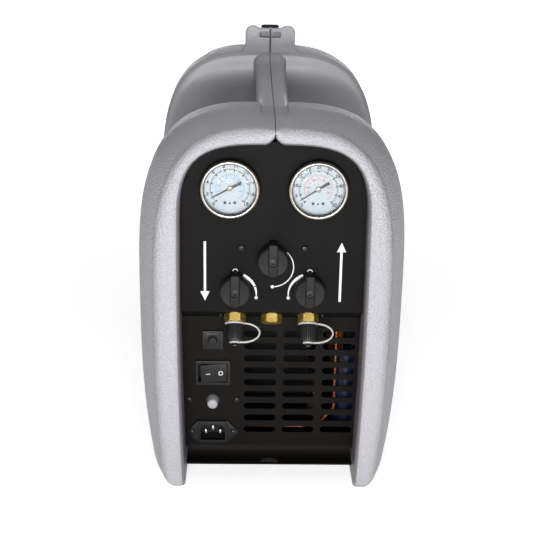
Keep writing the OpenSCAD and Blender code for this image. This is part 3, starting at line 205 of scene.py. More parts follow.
# Sections: half width at the belt, top, half width at the foot, foot height, power of the arch
front_face = (108.5, 348.5, 101, 0, 3.2)
front_band = (125, 355, 113, 0, 3.3)
rear_band = (125, 361, 113, 0, 3.4)
rear_back = (118.95, 355.5, 107.5, 0, 3.4)
waist = (106, 276, 98, 14, 3.8)
front_y, rear_y = -225.0, 225.0
flare_back, front_band_end, waist_front = -166, -141, -75
waist_rear, rear_band_start, rear_step, rear_step_run = 56, 122, 161.2, 4.6
band_r, band_step, sweep_run, rear_r = 6, 4, 60, 11
lip_r, edge_r, wall, weld = 6.5, 9.0, 3.6, 0.00001
open_w, open_draw, open_top, crown_z, crown_power = 84.0, 2.5, 333.0, 250.0, 3.6
arch_first = (0.0, 2.2, 5.0, 8.0, 11.2, 12.9, 17.0)
arch_n, side_n, corner_n, sole_n = 34, 12, 5, 3
pocket_front, pocket_back, pocket_half, pocket_low, pocket_depth = -181.0, -130, 12.9, 330, 4.0
notch_half, notch_lift, notch_low, notch_top, notch_reach = 9, 6.5, 325, 347.5, 30


def mixed(a, b, t):
    return tuple(p + (q - p) * t for p, q in zip(a, b))


def inset(s, d):
    return (s[0] - d, s[1] - d, s[2] - d, s[3] + d * (s[3] > 0), s[4])


def along(points, stops):
    """Points at these lengths along a dense polyline."""
    done, out, i = 0.0, [], 0
    for stop in stops:
        while i < len(points) - 2 and done + (points[i + 1] - points[i]).length < stop:
            done += (points[i + 1] - points[i]).length
            i += 1
        step = points[i + 1] - points[i]
        t = (stop - done) / max(step.length, 1e-9)
        out.append(points[i] + step * min(max(t, 0.0), 1.0))
    return out


def spread(points, count, first=()):
    """Fixed lengths first, then even steps to the end of the polyline."""
    total = sum((b - a).length for a, b in zip(points, points[1:]))
    start = first[-1] if first else 0.0
    left = count - len(first) + (1 if first else 0)
    even = [start + (total - start) * k / (left - 1) for k in range(left)]
    return along(points, list(first) + even[(1 if first else 0):])


def lip_grow(y):
    """How far the rounded lip stands outside its opening at a depth."""
    depth = min(y - front_y, rear_y - y)
    return 0.0 if depth > lip_r else lip_r * (1 - cos(asin(1 - depth / lip_r)))


def half_outline(s, y=0.0):
    """One half of a casing section: the arch from the seam, the side, the foot and the sole."""
    w, h, wb, zb, p = s
    arch = [Vector((w * sin(a) ** (2 / p), belt + (h - belt) * cos(a) ** (2 / p)))
            for a in (pi / 2 * (k / 240) ** 1.6 for k in range(241))]
    inner = leg_half + lip_grow(y)
    r = min(foot_r, 0.6 * (wb - inner))
    side = [Vector((w - (w - wb) * ((belt - z) / (belt - zb)) ** 3, z))
            for z in (belt + (zb + r - belt) * k / 40 for k in range(41))]
    low = side[-1]
    corner = [Vector((low.x - r + r * cos(a), zb + r - r * sin(a)))
              for a in (pi / 2 * k / 16 for k in range(17))]
    sole = [corner[-1], Vector((inner, zb))]
    return (spread(arch, arch_n, arch_first) + spread(side, side_n)[1:]
            + spread(corner, corner_n)[1:] + spread(sole, sole_n)[1:])


def opening_half(z):
    return open_w - open_draw * ((z - belt) / 150) ** 2


def opening_outline(grow):
    """One half of a panel opening, grown, in the same steps as a casing section."""
    top, c = open_top + grow, opening_half(crown_z) + grow
    power = 2 / crown_power
    arch = [Vector((c * sin(a) ** power, crown_z + (top - crown_z) * cos(a) ** power))
            for a in (pi / 2 * (k / 200) ** 1.6 for k in range(201))]
    arch += [Vector((opening_half(z) + grow, z)) for z in (240, 220, 200, belt)]
    side = [Vector((opening_half(z) + grow, z)) for z in (belt, 150, 120, 90, 60, 26)]
    low = [Vector((opening_half(z) + grow, z)) for z in (26, 12)]
    foot = [Vector((opening_half(z) + grow, z)) for z in (12, 0)]
    return (spread(arch, arch_n, arch_first) + spread(side, side_n)[1:]
            + spread(low, corner_n)[1:] + spread(foot, sole_n)[1:])


def parted(hole, lip, edge, outer):
    """Keeps the lip inside the face's outer edge where the face between them is narrow."""
    for k, (a, b) in enumerate(zip(hole, outer)):
        way = (b - a).normalized()
        p, q = (lip[k] - a).dot(way), (edge[k] - a).dot(way)
        if p > q - 0.8:
            lip[k] = a + way * ((p + q) / 2 - 0.4)
            edge[k] = a + way * ((p + q) / 2 + 0.4)


def casing_rows():
    """The shell from the front recess out round the lip, back over the waist and in again behind."""
    rows = []
    turn = [pi / 2 * k / 5 for k in range(6)]
    for y in (-183.0, -200.0, front_y + lip_r + 4):
        rows.append((y, opening_outline(0)))
    hole, lip = opening_outline(0), opening_outline(lip_r)
    edge = half_outline(inset(front_face, edge_r), front_y)
    parted(hole, lip, edge, half_outline(front_face, front_y))
    for a in turn:
        row = [p.lerp(q, 1 - cos(a)) for p, q in zip(hole, lip)]
        rows.append((front_y + lip_r * (1 - sin(a)), row))
    rows.append((front_y, [p.lerp(q, 0.5) for p, q in zip(lip, edge)]))
    for a in turn:
        y = front_y + edge_r * (1 - cos(a))
        row = [p.lerp(q, sin(a)) for p, q in zip(edge, half_outline(front_face, y))]
        row[-1].x = leg_half + lip_grow(y)
        row[-2].x = (row[-3].x + row[-1].x) / 2
        rows.append((y, row))
    flare_y = front_y + edge_r
    for t in (0.08, 0.18, 0.28, 0.38, 0.48, 0.58, 0.7055, 0.7309, 0.79, 0.88, 1.0):
        y = flare_y + (flare_back - flare_y) * t
        rows.append((y, half_outline(mixed(front_face, front_band, t * (1.6 - 0.6 * t)), y)))
    for y in (-157.0, -149.0, front_band_end):
        rows.append((y, half_outline(front_band)))
    for a in turn[1:]:
        section = inset(front_band, band_step * (1 - cos(a)))
        rows.append((front_band_end + band_r * sin(a), half_outline(section)))
    sweep = [pi / 2 * k / 16 for k in range(17)]
    front_inner, rear_inner = inset(front_band, band_step), inset(rear_band, band_step)
    for a in reversed(sweep[:-1]):
        rows.append((waist_front - sweep_run * sin(a), half_outline(mixed(waist, front_inner, 1 - cos(a)))))
    for y in (-42.0, -9.0, 24.0):
        rows.append((y, half_outline(waist)))
    for a in sweep:
        rows.append((waist_rear + sweep_run * sin(a), half_outline(mixed(waist, rear_inner, 1 - cos(a)))))
    for a in reversed(turn[:-1]):
        section = inset(rear_band, band_step * (1 - cos(a)))
        rows.append((rear_band_start - band_r * sin(a), half_outline(section)))
    rows += [(y, half_outline(rear_band)) for y in (142.0, 160.4)]
    for t in (0.06, 0.3, 0.7, 0.94):
        rows.append((rear_step + rear_step_run * t, half_outline(mixed(rear_band, rear_back, t))))
    rows += [(y, half_outline(rear_back)) for y in (167.0, 190.0)]
    for a in turn:
        y = rear_y - rear_r + rear_r * sin(a)
        rows.append((y, half_outline(inset(rear_back, rear_r * (1 - cos(a))), y)))
    edge, lip = half_outline(inset(rear_back, rear_r), rear_y), opening_outline(lip_r)
    rows.append((rear_y, [p.lerp(q, 0.5) for p, q in zip(edge, lip)]))
    for a in reversed(turn):
        rows.append((rear_y - lip_r * (1 - sin(a)), opening_outline(lip_r * (1 - cos(a)))))
    rows.append((202.0, opening_outline(0)))
    return rows


def only(obj):
    bpy.ops.object.select_all(action="DESELECT")
    obj.select_set(True)
    bpy.context.view_layer.objects.active = obj


def smoothed(obj, angle=35):
    only(obj)
    bpy.ops.object.shade_smooth_by_angle(angle=radians(angle))
    return obj


def modified(obj, kind, **settings):
    """Adds a modifier and applies it."""
    only(obj)
    made = obj.modifiers.new(kind.lower(), kind)
    for key, value in settings.items():
        setattr(made, key, value)
    bpy.ops.object.modifier_apply(modifier=made.name)
    return obj


def bevelled(obj, width, segments=3, angle=40):
    return modified(obj, "BEVEL", width=width * MM, segments=segments, limit_method="ANGLE",
                    angle_limit=radians(angle))


def joined(name, pieces):
    only(pieces[0])
    for piece in pieces[1:]:
        piece.select_set(True)
    bpy.ops.object.join()
    pieces[0].name = name
    pieces[0].data.name = name
    return pieces[0]


def carved(pieces, tool, operation="DIFFERENCE"):
    """Cuts pieces by one tool, which is then thrown away."""
    for piece in pieces:
        modified(piece, "BOOLEAN", object=tool, operation=operation, solver="EXACT")
    bpy.data.objects.remove(tool)
    return pieces


def edited(obj, *steps):
    """Runs mesh operators, each with its settings, on the whole of a piece."""
    only(obj)
    bpy.ops.object.mode_set(mode="EDIT")
    bpy.ops.mesh.select_all(action="SELECT")
    for step, settings in steps:
        step(**settings)
    bpy.ops.object.mode_set(mode="OBJECT")
    return obj


def facing_out(obj):
    return edited(obj, (bpy.ops.mesh.remove_doubles, {"threshold": weld}),
                  (bpy.ops.mesh.normals_make_consistent, {"inside": False}))


def sheet_of(name, rows):
    """A grid whose rows of points are placed one by one, in millimetres."""
    made = added(bpy.ops.mesh.primitive_grid_add, name,
                 x_subdivisions=len(rows[0]) - 1, y_subdivisions=len(rows) - 1, size=1)
    for vertex, p in zip(made.data.vertices, [p for row in rows for p in row]):
        vertex.co = Vector(p) * MM
    return made


def extruded(name, points, along_vector):
    """A plate from its outline, points in millimetres, pulled along a vector."""
    made = added(bpy.ops.mesh.primitive_circle_add, name,
                 vertices=len(points), fill_type="NGON", radius=1)
    for vertex, p in zip(made.data.vertices, points):
        vertex.co = Vector(p) * MM
    pull = {"TRANSFORM_OT_translate": {"value": Vector(along_vector) * MM}}
    return facing_out(edited(made, (bpy.ops.mesh.extrude_region_move, pull)))


def oblong(x0, y0, x1, y1):
    return [(x0, y0), (x1, y0), (x1, y1), (x0, y1)]


def arc_points(cx, cz, r, start, end, count):
    return [(cx + r * cos(radians(start + (end - start) * k / (count - 1))),
             cz + r * sin(radians(start + (end - start) * k / (count - 1)))) for k in range(count)]


def pocketed(x, y, z):
    """Sinks the pad in front of the handle into the band's top."""
    if z < pocket_low or y < pocket_front - 0.8 or y > pocket_back:
        return z
    across = min(max((pocket_half - abs(x)) / 1.7, 0), 1)
    deep = min(max((y - pocket_front + 0.8) / 1.5, 0), 1)
    return z - pocket_depth * across * deep


def notched(x, y, z):
    """Lifts the opening's top lip at the seam, where the two halves round off."""
    if x > notch_half or z > notch_top or z < notch_low or abs(y) < rear_y - notch_reach:
        return z
    return z + min(notch_lift * (1 - x / notch_half) ** 2, 0.7 * (notch_top - z))


def seam_tongue():
    """The strip on the left half that laps under the right one along the seam."""
    tongue_half, tongue_t = 4, 1.2
    rows = []
    for y, outline in casing_rows()[13:-10]:
        z = notched(0, y, pocketed(0, y, outline[0].y)) - wall - tongue_t / 2
        rows.append([(-tongue_half, y, z), (tongue_half, y, z)])
    tongue = modified(sheet_of("seam_tongue", rows), "SOLIDIFY", thickness=tongue_t * MM, offset=0.0)
    tongue.data.materials.append(casing_finish)
    return tongue


def casing_half(name, side):
    rows = []
    for y, outline in casing_rows():
        row = []
        for p in outline:
            x = max(p.x, seam / 2)
            row.append((side * x, y, notched(x, y, pocketed(x, y, p.y))))
        rows.append(row)
    shell = sheet_of(name + "_shell", rows)
    top = max(shell.data.polygons, key=lambda f: f.center.z)
    if top.normal.z < 0:
        edited(shell, (bpy.ops.mesh.flip_normals, {}))
    # Painted shade: faces inside the opening and round its lip, and the walls of the pad in front of the
    # handle, take the darker lip material. It stands in for shade in the recess and in the pad's crease.
    lip_end = 7 * len(rows[0])
    for face in shell.data.polygons:
        x, y, z = face.center / MM
        on_pad = pocket_front - 0.9 < y < pocket_back and z > 335 and abs(x) < 13
        rim = on_pad and (abs(x) > 11.1 or y < pocket_front + 0.8)
        face.material_index = int(rim or all(v < lip_end for v in face.vertices))
    modified(shell, "SOLIDIFY", thickness=wall * MM, offset=-1.0, use_quality_normals=True)
    bevelled(shell, 1.1, 2, 65)

    grip_half, grip_low, grip_high, grip_r = 16, 322, 350, 10
    grip_front, grip_rear, root, root_grow, root_rise = -113, 94, 24, 3, 9
    rows = []
    for y in (-140, -137, -131, -125, -119, grip_front, -60, -10, 40, grip_rear, 100, 106, 112, 118, 121):
        end = max((grip_front - y) / root, (y - grip_rear) / root, 0)
        grow = root_grow * (1 - cos(pi / 2 * min(end, 1)))
        rise = root_rise * (1 - cos(pi / 2 * min(max(y - grip_rear, 0) / root, 1)))
        w, low, high = grip_half + grow, grip_low - grow, grip_high + grow * 0.3 + rise
        ring = [(seam / 2, low)] + arc_points(w - grip_r, low + grip_r, grip_r, -90, 0, 7)
        ring += arc_points(w - grip_r, high - grip_r, grip_r, 0, 90, 7)
        ring += [(seam / 2 + 1.5, high), (seam / 2, high - 0.8)]
        rows.append([(side * x, y, z) for x, z in ring])
    handle = sheet_of(name + "_handle", rows)

    block_half, block_foot, block_top, block_r = 28, 352, 390.2, 8
    block_y, block_run, block_fall, face_inset = 119, 62, radians(8), 0.8
    ring = [(seam / 2, block_foot), (block_half + 5, block_foot), (block_half + 5, 361),
            (block_half + 2.6, 363.6), (block_half + 1, 366.8), (block_half, 371)]
    ring += arc_points(block_half - block_r, block_top - block_r, block_r, 0, 90, 8)
    ring += [(17.5, block_top), (16, block_top - 0.6), (14, block_top - 1.9), (12, block_top - 2.5),
             (seam / 2 + 0.9, block_top - 2.5), (seam / 2, block_top - 3.3)]
    block = extruded(name + "_block", [(side * x, block_y, z) for x, z in ring],
                     (0, block_run, -block_run * tan(block_fall)))
    bevelled(block, 3, 3, 60)
    only(block)
    bpy.ops.object.mode_set(mode="EDIT")
    bpy.ops.mesh.select_mode(type="FACE")
    bpy.ops.mesh.select_all(action="DESELECT")
    bpy.ops.object.mode_set(mode="OBJECT")
    for face in block.data.polygons:
        face.select = face.normal.y < -0.95
    bpy.ops.object.mode_set(mode="EDIT")
    bpy.ops.mesh.inset(thickness=face_inset * MM)
    bpy.ops.mesh.select_mode(type="VERT")
    bpy.ops.object.mode_set(mode="OBJECT")
    ring = [(-1, 377)] + arc_points(10, 379.5, 2.5, -90, 0, 4)
    ring += arc_points(10, 381.5, 2.5, 0, 90, 4) + [(-1, 384)]
    slot = extruded("grip_slot", [(side * x, block_y - 2, z) for x, z in ring], (0, 11, -1.5))
    carved([block], slot)

    pan_y, pan_run, leg_t, leg_top = -181, 382, 3.4, 17
    ring = oblong(seam / 2, 14, leg_half + 3, 18)
    pan = extruded(name + "_pan", [(side * x, pan_y, z) for x, z in ring], (0, pan_run, 0))
    pieces = [shell, handle, block, pan]
    for leg_end, band_end, waist_end, run in ((-183, front_band_end, waist_front, -sweep_run),
                                              (203, rear_band_start, waist_rear, sweep_run)):
        outline = [(leg_end, 0), (band_end, 0)]
        outline += [(waist_end + run * sin(a), waist[3] * cos(a))
                    for a in (pi / 2 * k / 10 for k in range(10, -1, -1))]
        outline += [(waist_end, leg_top), (leg_end, leg_top)]
        pieces.append(extruded(name + "_leg", [(side * leg_half, y, z) for y, z in outline],
                               (side * leg_t, 0, 0)))
    for piece in pieces:
        piece.data.materials.append(casing_finish)
    shell.data.materials.append(lip_painted_shade)
    if side < 0:
        pieces.append(seam_tongue())
    half = edited(joined(name, pieces), (bpy.ops.mesh.remove_doubles, {"threshold": weld}))
    for vertex in half.data.vertices:
        vertex.co.z = max(vertex.co.z, 0)
    return smoothed(half, 50)


def principled(name, inputs, height=None, relief=0.0002, strength=1.0):
    """A finished material: one Principled shader with what varies linked in, and any bump."""
    made, sh = blank_material(name)
    made_inputs = {key: value(sh) if callable(value) else value for key, value in inputs.items()}
    if height:
        made_inputs["Normal"] = sh.node("Bump", None, {
            "Height": height(sh), "Distance": relief, "Strength": strength})
    sh.node("OutputMaterial", None, {"Surface": sh.node("BsdfPrincipled", None, made_inputs)})
    return made


def place(sh):
    return sh.node("TexCoord", out="Object")


def speckle(sh, scale, detail):
    return sh.node("TexNoise", None, {"Vector": place(sh), "Scale": scale, "Detail": detail})


def axis_of(sh, which):
    return sh.node("SeparateXYZ", None, {0: place(sh)}, out=which)


def blend_colours(sh, amount, dark, light):
    return sh.node("Mix", {"data_type": "RGBA"}, {"Factor": amount, 6: dark, 7: light}, out=2)


def mottled(scale, detail, dark, light):
    """A colour that wanders between two screen colours."""
    return lambda sh: blend_colours(sh, speckle(sh, scale, detail), colour(*dark), colour(*light))


def uneven(base, scale, detail, span):
    """A roughness that rises from its base in patches."""
    return lambda sh: base + speckle(sh, scale, detail) * span


def grain(scale, detail):
    """Relief for a bump."""
    return lambda sh: speckle(sh, scale, detail)


casing_grey, casing_shade = colour(188, 187, 192), colour(160, 159, 166)


def pebbled(sh):
    """1 on the pebbled bands, the block and the feet, 0 on the satin waist and handle."""
    y = axis_of(sh, "Y")
    return sh.math("MAXIMUM", (0 - y).above(0.1405, 0.0015), y.above(0.1225, 0.001))


def casing_height(sh):
    pebbles = sh.node("TexVoronoi", {"feature": "SMOOTH_F1"}, {
        "Vector": place(sh), "Scale": 620.0, "Smoothness": 0.6})
    ripple = speckle(sh, 900, 1.0)
    flow = speckle(sh, 26, 2.0)
    return (1 - pebbles) * pebbled(sh) + ripple * 0.25 * pebbled(sh) + flow * 0.5 * (1 - pebbled(sh))


casing_finish = principled("pebbled_casing", {
    "Base Color": lambda sh: blend_colours(
        sh, speckle(sh, 700, 2.0) * 0.8 + speckle(sh, 9, 3.0) * 0.3, casing_shade, casing_grey),
    "Roughness": lambda sh: 0.26 + pebbled(sh) * 0.16 + speckle(sh, 60, 3.0) * 0.06,
    "Metallic": 0.0,
    "Specular IOR Level": 0.5,
}, casing_height, relief=0.001, strength=0.8)

# The lip is smooth, not pebbled. Its darker colour is painted shade for the recess inside the opening and for
# the pad's walls.
lip_painted_shade = principled("smooth_lip_painted_shade", {
    "Base Color": mottled(500, 2.0, (112, 108, 112), (136, 132, 136)),
    "Roughness": uneven(0.4, 60, 3.0, 0.1),
}, grain(300, 2.0), relief=0.0001, strength=0.4)

for name, side in (("left_casing", -1), ("right_casing", 1)):
    half = casing_half(name + "_dressed", side)
    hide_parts(name)
    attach(half, "machine")

# Top bumper: a soft black rubber pad in the dip of the rear block, ribbed
# across so that the upturned machine does not slide.
bumper_w, bumper_d, bumper_t = 20.0, 30.0, 3.5
rib_w, rib_t, rib_pitch, rib_rise = 15, 2, 4.6, 1.2
bumper_rest = Matrix.Translation(Vector((0, 150, 383.69)) * MM) @ Matrix.Rotation(radians(-8), 4, "X")


def placed(obj, where):
    obj.data.transform(where)
    obj.data.update()
    return obj


def rounded_box(w, h, r, count=5):
    """Outline of a rounded rectangle about the origin."""
    points = []
    for cx, cy, start in ((w / 2 - r, h / 2 - r, 0), (r - w / 2, h / 2 - r, 90),
                          (r - w / 2, r - h / 2, 180), (w / 2 - r, r - h / 2, 270)):
        points += arc_points(cx, cy, r, start, start + 90, count)
    return points


pad = extruded("bumper_pad", [(x, y, 0) for x, y in rounded_box(bumper_w, bumper_d, 4)],
               (0, 0, bumper_t - 0.5))
bevelled(pad, 0.9, 3, 60)
ribs = [pad]
for k in range(-2, 3):
    ring = rounded_box(rib_w, rib_t, 0.9, 3)
    rib = extruded("rib", [(x, y + k * rib_pitch, bumper_t - rib_rise) for x, y in ring],
                   (0, 0, rib_rise))
    ribs.append(bevelled(rib, 0.35, 2, 60))
bumper = placed(smoothed(joined("top_bumper_pad", ribs)), bumper_rest)
rubber = principled("black_rubber", {
    "Base Color": mottled(90, 3.0, (24, 24, 25), (42, 41, 42)),
    "Roughness": uneven(0.62, 300, 2.0, 0.15),
}, grain(1500, 1.0), relief=0.0001, strength=0.4)
bumper.data.materials.append(rubber)
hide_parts("top_bumper")
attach(bumper, "machine")

# Frame inside the casing: two bent steel hoops and a floor tray, with the fan shroud and the pressure switch,
# all dark zinc steel. The hoops stiffen the bands where they are screwed.
def dress(material, *names):
    """Gives carried-over nodes their finish."""
    for name in names:
        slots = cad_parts[name].data.materials
        slots.clear()
        slots.append(material)


dark_zinc = principled("dark_zinc_steel", {
    "Base Color": mottled(45, 4.0, (34, 34, 36), (58, 58, 61)),
    "Metallic": 0.8,
    "Roughness": uneven(0.34, 120, 3.0, 0.25),
}, grain(500, 2.0), relief=0.00005, strength=0.5)
dress(dark_zinc, "front_hoop", "rear_hoop", "base_tray", "fan_shroud", "pressure_switch")

# Compressor set: an aluminium crankcase with a finned head, coloured near black as painted shade inside the
# casing, and a painted motor, on rubber mounts bolted through the tray.
casting_painted_shade = principled("aluminium_casting_painted_shade", {
    "Base Color": mottled(160, 4.0, (15, 15, 16), (28, 28, 30)),
    "Metallic": 0.9,
    "Roughness": uneven(0.45, 400, 2.0, 0.2),
}, grain(700, 3.0), relief=0.0002, strength=0.6)
motor_paint = principled("motor_enamel", {
    "Base Color": mottled(60, 3.0, (15, 15, 17), (26, 26, 29)),
    "Roughness": uneven(0.38, 90, 3.0, 0.15),
    "Coat Weight": 0.2,
}, grain(300, 2.0), relief=0.0001, strength=0.4)
bright_steel = principled("turned_steel", {
    "Base Color": mottled(250, 3.0, (168, 168, 170), (208, 208, 210)),
    "Metallic": 1.0,
    "Roughness": uneven(0.22, 500, 2.0, 0.15),
})
dress(casting_painted_shade, "crankcase", "cylinder_head")
dress(motor_paint, "compressor_motor")
dress(rubber, "compressor_mounts")
dress(bright_steel, "mount_bolts", "motor_shaft")

# Fan and condenser: a moulded six-bladed fan on the motor shaft draws air
# through the front slots and blows it through aluminium fins on a copper tube.
fan_plastic = principled("moulded_fan", {
    "Base Color": mottled(80, 3.0, (18, 18, 20), (30, 30, 33)),
    "Roughness": uneven(0.42, 200, 2.0, 0.12),
}, grain(900, 1.0), relief=0.0001, strength=0.3)
fin_sheet = principled("rolled_fins", {
    "Base Color": mottled(70, 3.0, (150, 152, 154), (196, 198, 199)),
    "Metallic": 0.9,
    "Roughness": uneven(0.3, 300, 2.0, 0.2),
})
copper = principled("bright_copper", {
    "Base Color": mottled(60, 4.0, (176, 92, 44), (240, 140, 78)),
    "Metallic": 0.75,
    "Roughness": uneven(0.26, 150, 3.0, 0.2),
})
dress(fan_plastic, "fan_rotor")
dress(fin_sheet, "condenser_fins")
dress(copper, "condenser_tubes", "suction_pipe", "discharge_pipe", "liquid_pipe", "sensing_lines")

# Capacitor and wiring: a dark blue sleeved can standing beside the right leg,
# and black insulated leads between inlet, switch, breaker and motor.
blue_sleeve = principled("blue_sleeve", {
    "Base Color": mottled(40, 3.0, (15, 21, 50), (25, 33, 72)),
    "Roughness": uneven(0.3, 120, 2.0, 0.15),
    "Coat Weight": 0.3,
})
wire_skin = principled("wire_insulation", {
    "Base Color": mottled(120, 2.0, (20, 20, 21), (36, 36, 38)),
    "Roughness": uneven(0.45, 200, 2.0, 0.15),
})
dress(blue_sleeve, "run_capacitor")
dress(wire_skin, "wiring_loom")

# Panels: folded 1.5 mm steel sheet in matt black powder coat, set into the
# casing's openings. The lower front sheet is slotted, the rear one carries the
# fan guard.
def powder_coat(name, dark, light):
    """A fine speckle over a faint mottle."""
    return principled(name, {
        "Base Color": lambda sh: blend_colours(
            sh, speckle(sh, 1300, 2.0) * 0.7 + speckle(sh, 14, 3.0) * 0.4, colour(*dark), colour(*light)),
        "Roughness": uneven(0.5, 40, 3.0, 0.12),
        "Specular IOR Level": 0.07,
    }, grain(1500, 2.0), relief=0.00012, strength=0.5)


powder_black = powder_coat("black_powder_coat", (11, 10, 10), (20, 19, 18))
powder_warm = powder_coat("warm_black_powder_coat", (12, 11, 10), (21, 19, 17))
dress(powder_black, "control_panel", "rear_panel")
dress(powder_warm, "front_grille")

# Printed marks: white ink on the control panel, a swept line or a tapering
# wedge round each valve with a dot at its closed end, and plain arrows for the
# two flow directions.
panel_y = (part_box("control_panel")[0] / MM).y
ink_t = 0.08


def facing(x, y, z):
    """Places a piece modelled with its face up: X right, Y up and Z out of the front."""
    return Matrix(((1, 0, 0, x * MM), (0, 0, -1, y * MM), (0, 1, 0, z * MM), (0, 0, 0, 1)))


def flat(name, points, low, high):
    """A plate from a flat outline, between two heights."""
    return extruded(name, [(x, y, low) for x, y in points], (0, 0, high - low))


def swept_band(cx, cy, r, start, end, wide_start, wide_end, count=28):
    """An arc of ink whose width goes from one value to another."""
    outer, inner = [], []
    for k in range(count):
        t = k / (count - 1)
        a, half = radians(start + (end - start) * t), (wide_start + (wide_end - wide_start) * t) / 2
        outer.append((cx + (r + half) * cos(a), cy + (r + half) * sin(a)))
        inner.append((cx + (r - half) * cos(a), cy + (r - half) * sin(a)))
    return outer + inner[::-1]


def dot(cx, cy, r, count=24):
    return arc_points(cx, cy, r, 0, 360 - 360 / count, count)


marks = [swept_band(0, 217, 19.0, 76, -86, 0.9, 0.9), dot(0, 198, 1.5),
         swept_band(-34, 190.5, 19.4, 68, 24, 3.4, 2.2), swept_band(-34, 190.5, 19.4, 21, -7, 2.1, 0.7),
         dot(-14.7, 187.2, 1.5),
         swept_band(34, 190.5, 19.4, 108, 187, 3.4, 0.7), dot(14.7, 187.2, 1.5)]
line_half, barb_half, barb_l = 1.1, 4.2, 9
for x, tip, tail in ((-61.5, 184, 241), (62, 241, 184)):
    barb = tip - barb_l if tip > tail else tip + barb_l
    marks.append([(x - line_half, tail), (x + line_half, tail), (x + line_half, barb), (x + barb_half, barb),
                  (x, tip), (x - barb_half, barb), (x - line_half, barb)])
for x in (-34, 34):
    marks.append(swept_band(x, 212.6, 2.2, 0, 359, 0.8, 0.8, 40))
inked = joined("printed_marks", [flat("mark", outline, 0, ink_t) for outline in marks])
placed(inked, facing(0, panel_y, 0))
white_ink = principled("white_ink", {
    "Base Color": mottled(900, 2.0, (214, 216, 218), (240, 241, 242)),
    "Roughness": uneven(0.5, 500, 2.0, 0.1),
})
inked.data.materials.append(white_ink)
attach(inked, "machine")

# Screws: black cross-headed screws. Six on each side, sunk into the bands, hold
# the casing halves; small ones hold the panels, the switch and the inlet.
def lathe(name, profile, steps=48):
    """A turned piece from its (radius, height) profile."""
    rows = []
    for k in range(steps + 1):
        a = 2 * pi * (k % steps) / steps
        rows.append([(r * cos(a), r * sin(a), h) for r, h in profile])
    return facing_out(sheet_of(name, rows))


def cross_screw(head_r, head_h):
    """A pan head with a cross recess, seated at height 0."""
    dome = [(0, head_h)] + [(head_r * sin(radians(a)), head_h * (0.35 + 0.65 * cos(radians(a)) ** 0.7))
                            for a in (18, 36, 54, 70, 82)]
    head = lathe("screw_head", dome + [(head_r, head_h * 0.3), (head_r, 0), (0, 0)], 32)
    long_half, wide_half = 0.62 * head_r, 0.14 * head_r
    for turn in (0, 90):
        wing = flat("recess", oblong(-long_half, -wide_half, long_half, wide_half), 0.35 * head_h, 2 * head_h)
        wing.data.transform(Matrix.Rotation(radians(turn), 4, "Z"))
        carved([head], wing)
    return smoothed(head, 40)


def copies(name, model, places):
    """One object from a modelled piece set down at several places."""
    made = []
    for where in places:
        twin = model.copy()
        twin.data = model.data.copy()
        bpy.context.scene.collection.objects.link(twin)
        made.append(placed(twin, where))
    bpy.data.objects.remove(model)
    return joined(name, made)


def sideways(side, x, y, z):
    return Matrix(((0, 0, side, side * x * MM), (side, 0, 0, y * MM), (0, 1, 0, z * MM), (0, 0, 0, 1)))


def rearward(x, y, z):
    return Matrix(((-1, 0, 0, x * MM), (0, 0, 1, y * MM), (0, 1, 0, z * MM), (0, 0, 0, 1)))


port_down, port_y, port_z = 11.3, -197.21, 167.35


def ledge(x, down=port_down):
    """Places a piece on the sloping ledge, a distance down from its fold, facing out and down."""
    up = Vector((0, -0.8660, 0.5))
    out = Vector((0, -0.5, -0.8660))
    at = Vector((x, port_y, port_z)) - up * (down - port_down)
    return Matrix(((1, 0, 0, at.x * MM), (0, up.y, out.y, at.y * MM), (0, up.z, out.z, at.z * MM),
                   (0, 0, 0, 1)))


def band_half(s, z):
    if z > belt:
        return s[0] * (1 - ((z - belt) / (s[1] - belt)) ** s[4]) ** (1 / s[4])
    return s[0] - (s[0] - s[2]) * ((belt - z) / (belt - s[3])) ** 3


screw_sink, screw_rows, screw_bands = 5, (60, 209, 286), ((front_band, -153), (rear_band, 140))
casing_head, panel_head, ear_head = (4, 3), (3.2, 2), (2.9, 1.4)
grille_lip, ear_t, rear_sheet_y = 21, 3.5, 205
side_places = [sideways(side, band_half(band, z) - screw_sink, y, z)
               for side in (-1, 1) for z in screw_rows for band, y in screw_bands]
grille_y = (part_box("front_grille")[0] / MM).y + grille_lip
small_places = [facing(x, panel_y, 235) for x in (-28.6, 28.6)] + [ledge(x, 18) for x in (-47.5, 47.5)]
small_places += [facing(x, grille_y, 73) for x in (-78, -32)]
small_places += [rearward(side * (opening_half(z) - 3), rear_sheet_y, z)
                 for side in (-1, 1) for z in (70, 240)]
ear_places = [facing(x, grille_y - ear_t, 39.5) for x in (-75, -35)]
black_oxide = principled("black_oxide", {
    "Base Color": mottled(300, 3.0, (26, 25, 25), (56, 55, 54)),
    "Metallic": 0.85,
    "Roughness": uneven(0.24, 600, 2.0, 0.16),
})
side_screws = copies("casing_cross_screws", cross_screw(*casing_head), side_places)
panel_fixings = joined("panel_cross_screws", [
    copies("small_screws", cross_screw(*panel_head), small_places),
    copies("ear_screws", cross_screw(*ear_head), ear_places)])
for piece, node in ((side_screws, "casing_screws"), (panel_fixings, "panel_screws")):
    piece.data.materials.append(black_oxide)
    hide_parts(node)
    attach(piece, "machine")

# Gauges: two dry pressure gauges clamped through the panel, each with a black
# case behind it, a printed aluminium dial and a polished rolled bezel over glass.
gauge_places = {"input": -39.2, "output": 39.2}
gauge_z, gauge_r = 291.0, 27.0
gauge_seats = [facing(x, panel_y, gauge_z) for x in gauge_places.values()]
scale_start, scale_sweep = 225, -270
dial_face, ink_rise = 1.6, 0.04
tick_end, tick_major, tick_middle, tick_minor = 17.9, 15.4, 16.2, 16.9
inner_end, inner_major, inner_minor = 12.6, 11.2, 11.8
figure_r, inner_figure_r = 20.4, 9.4
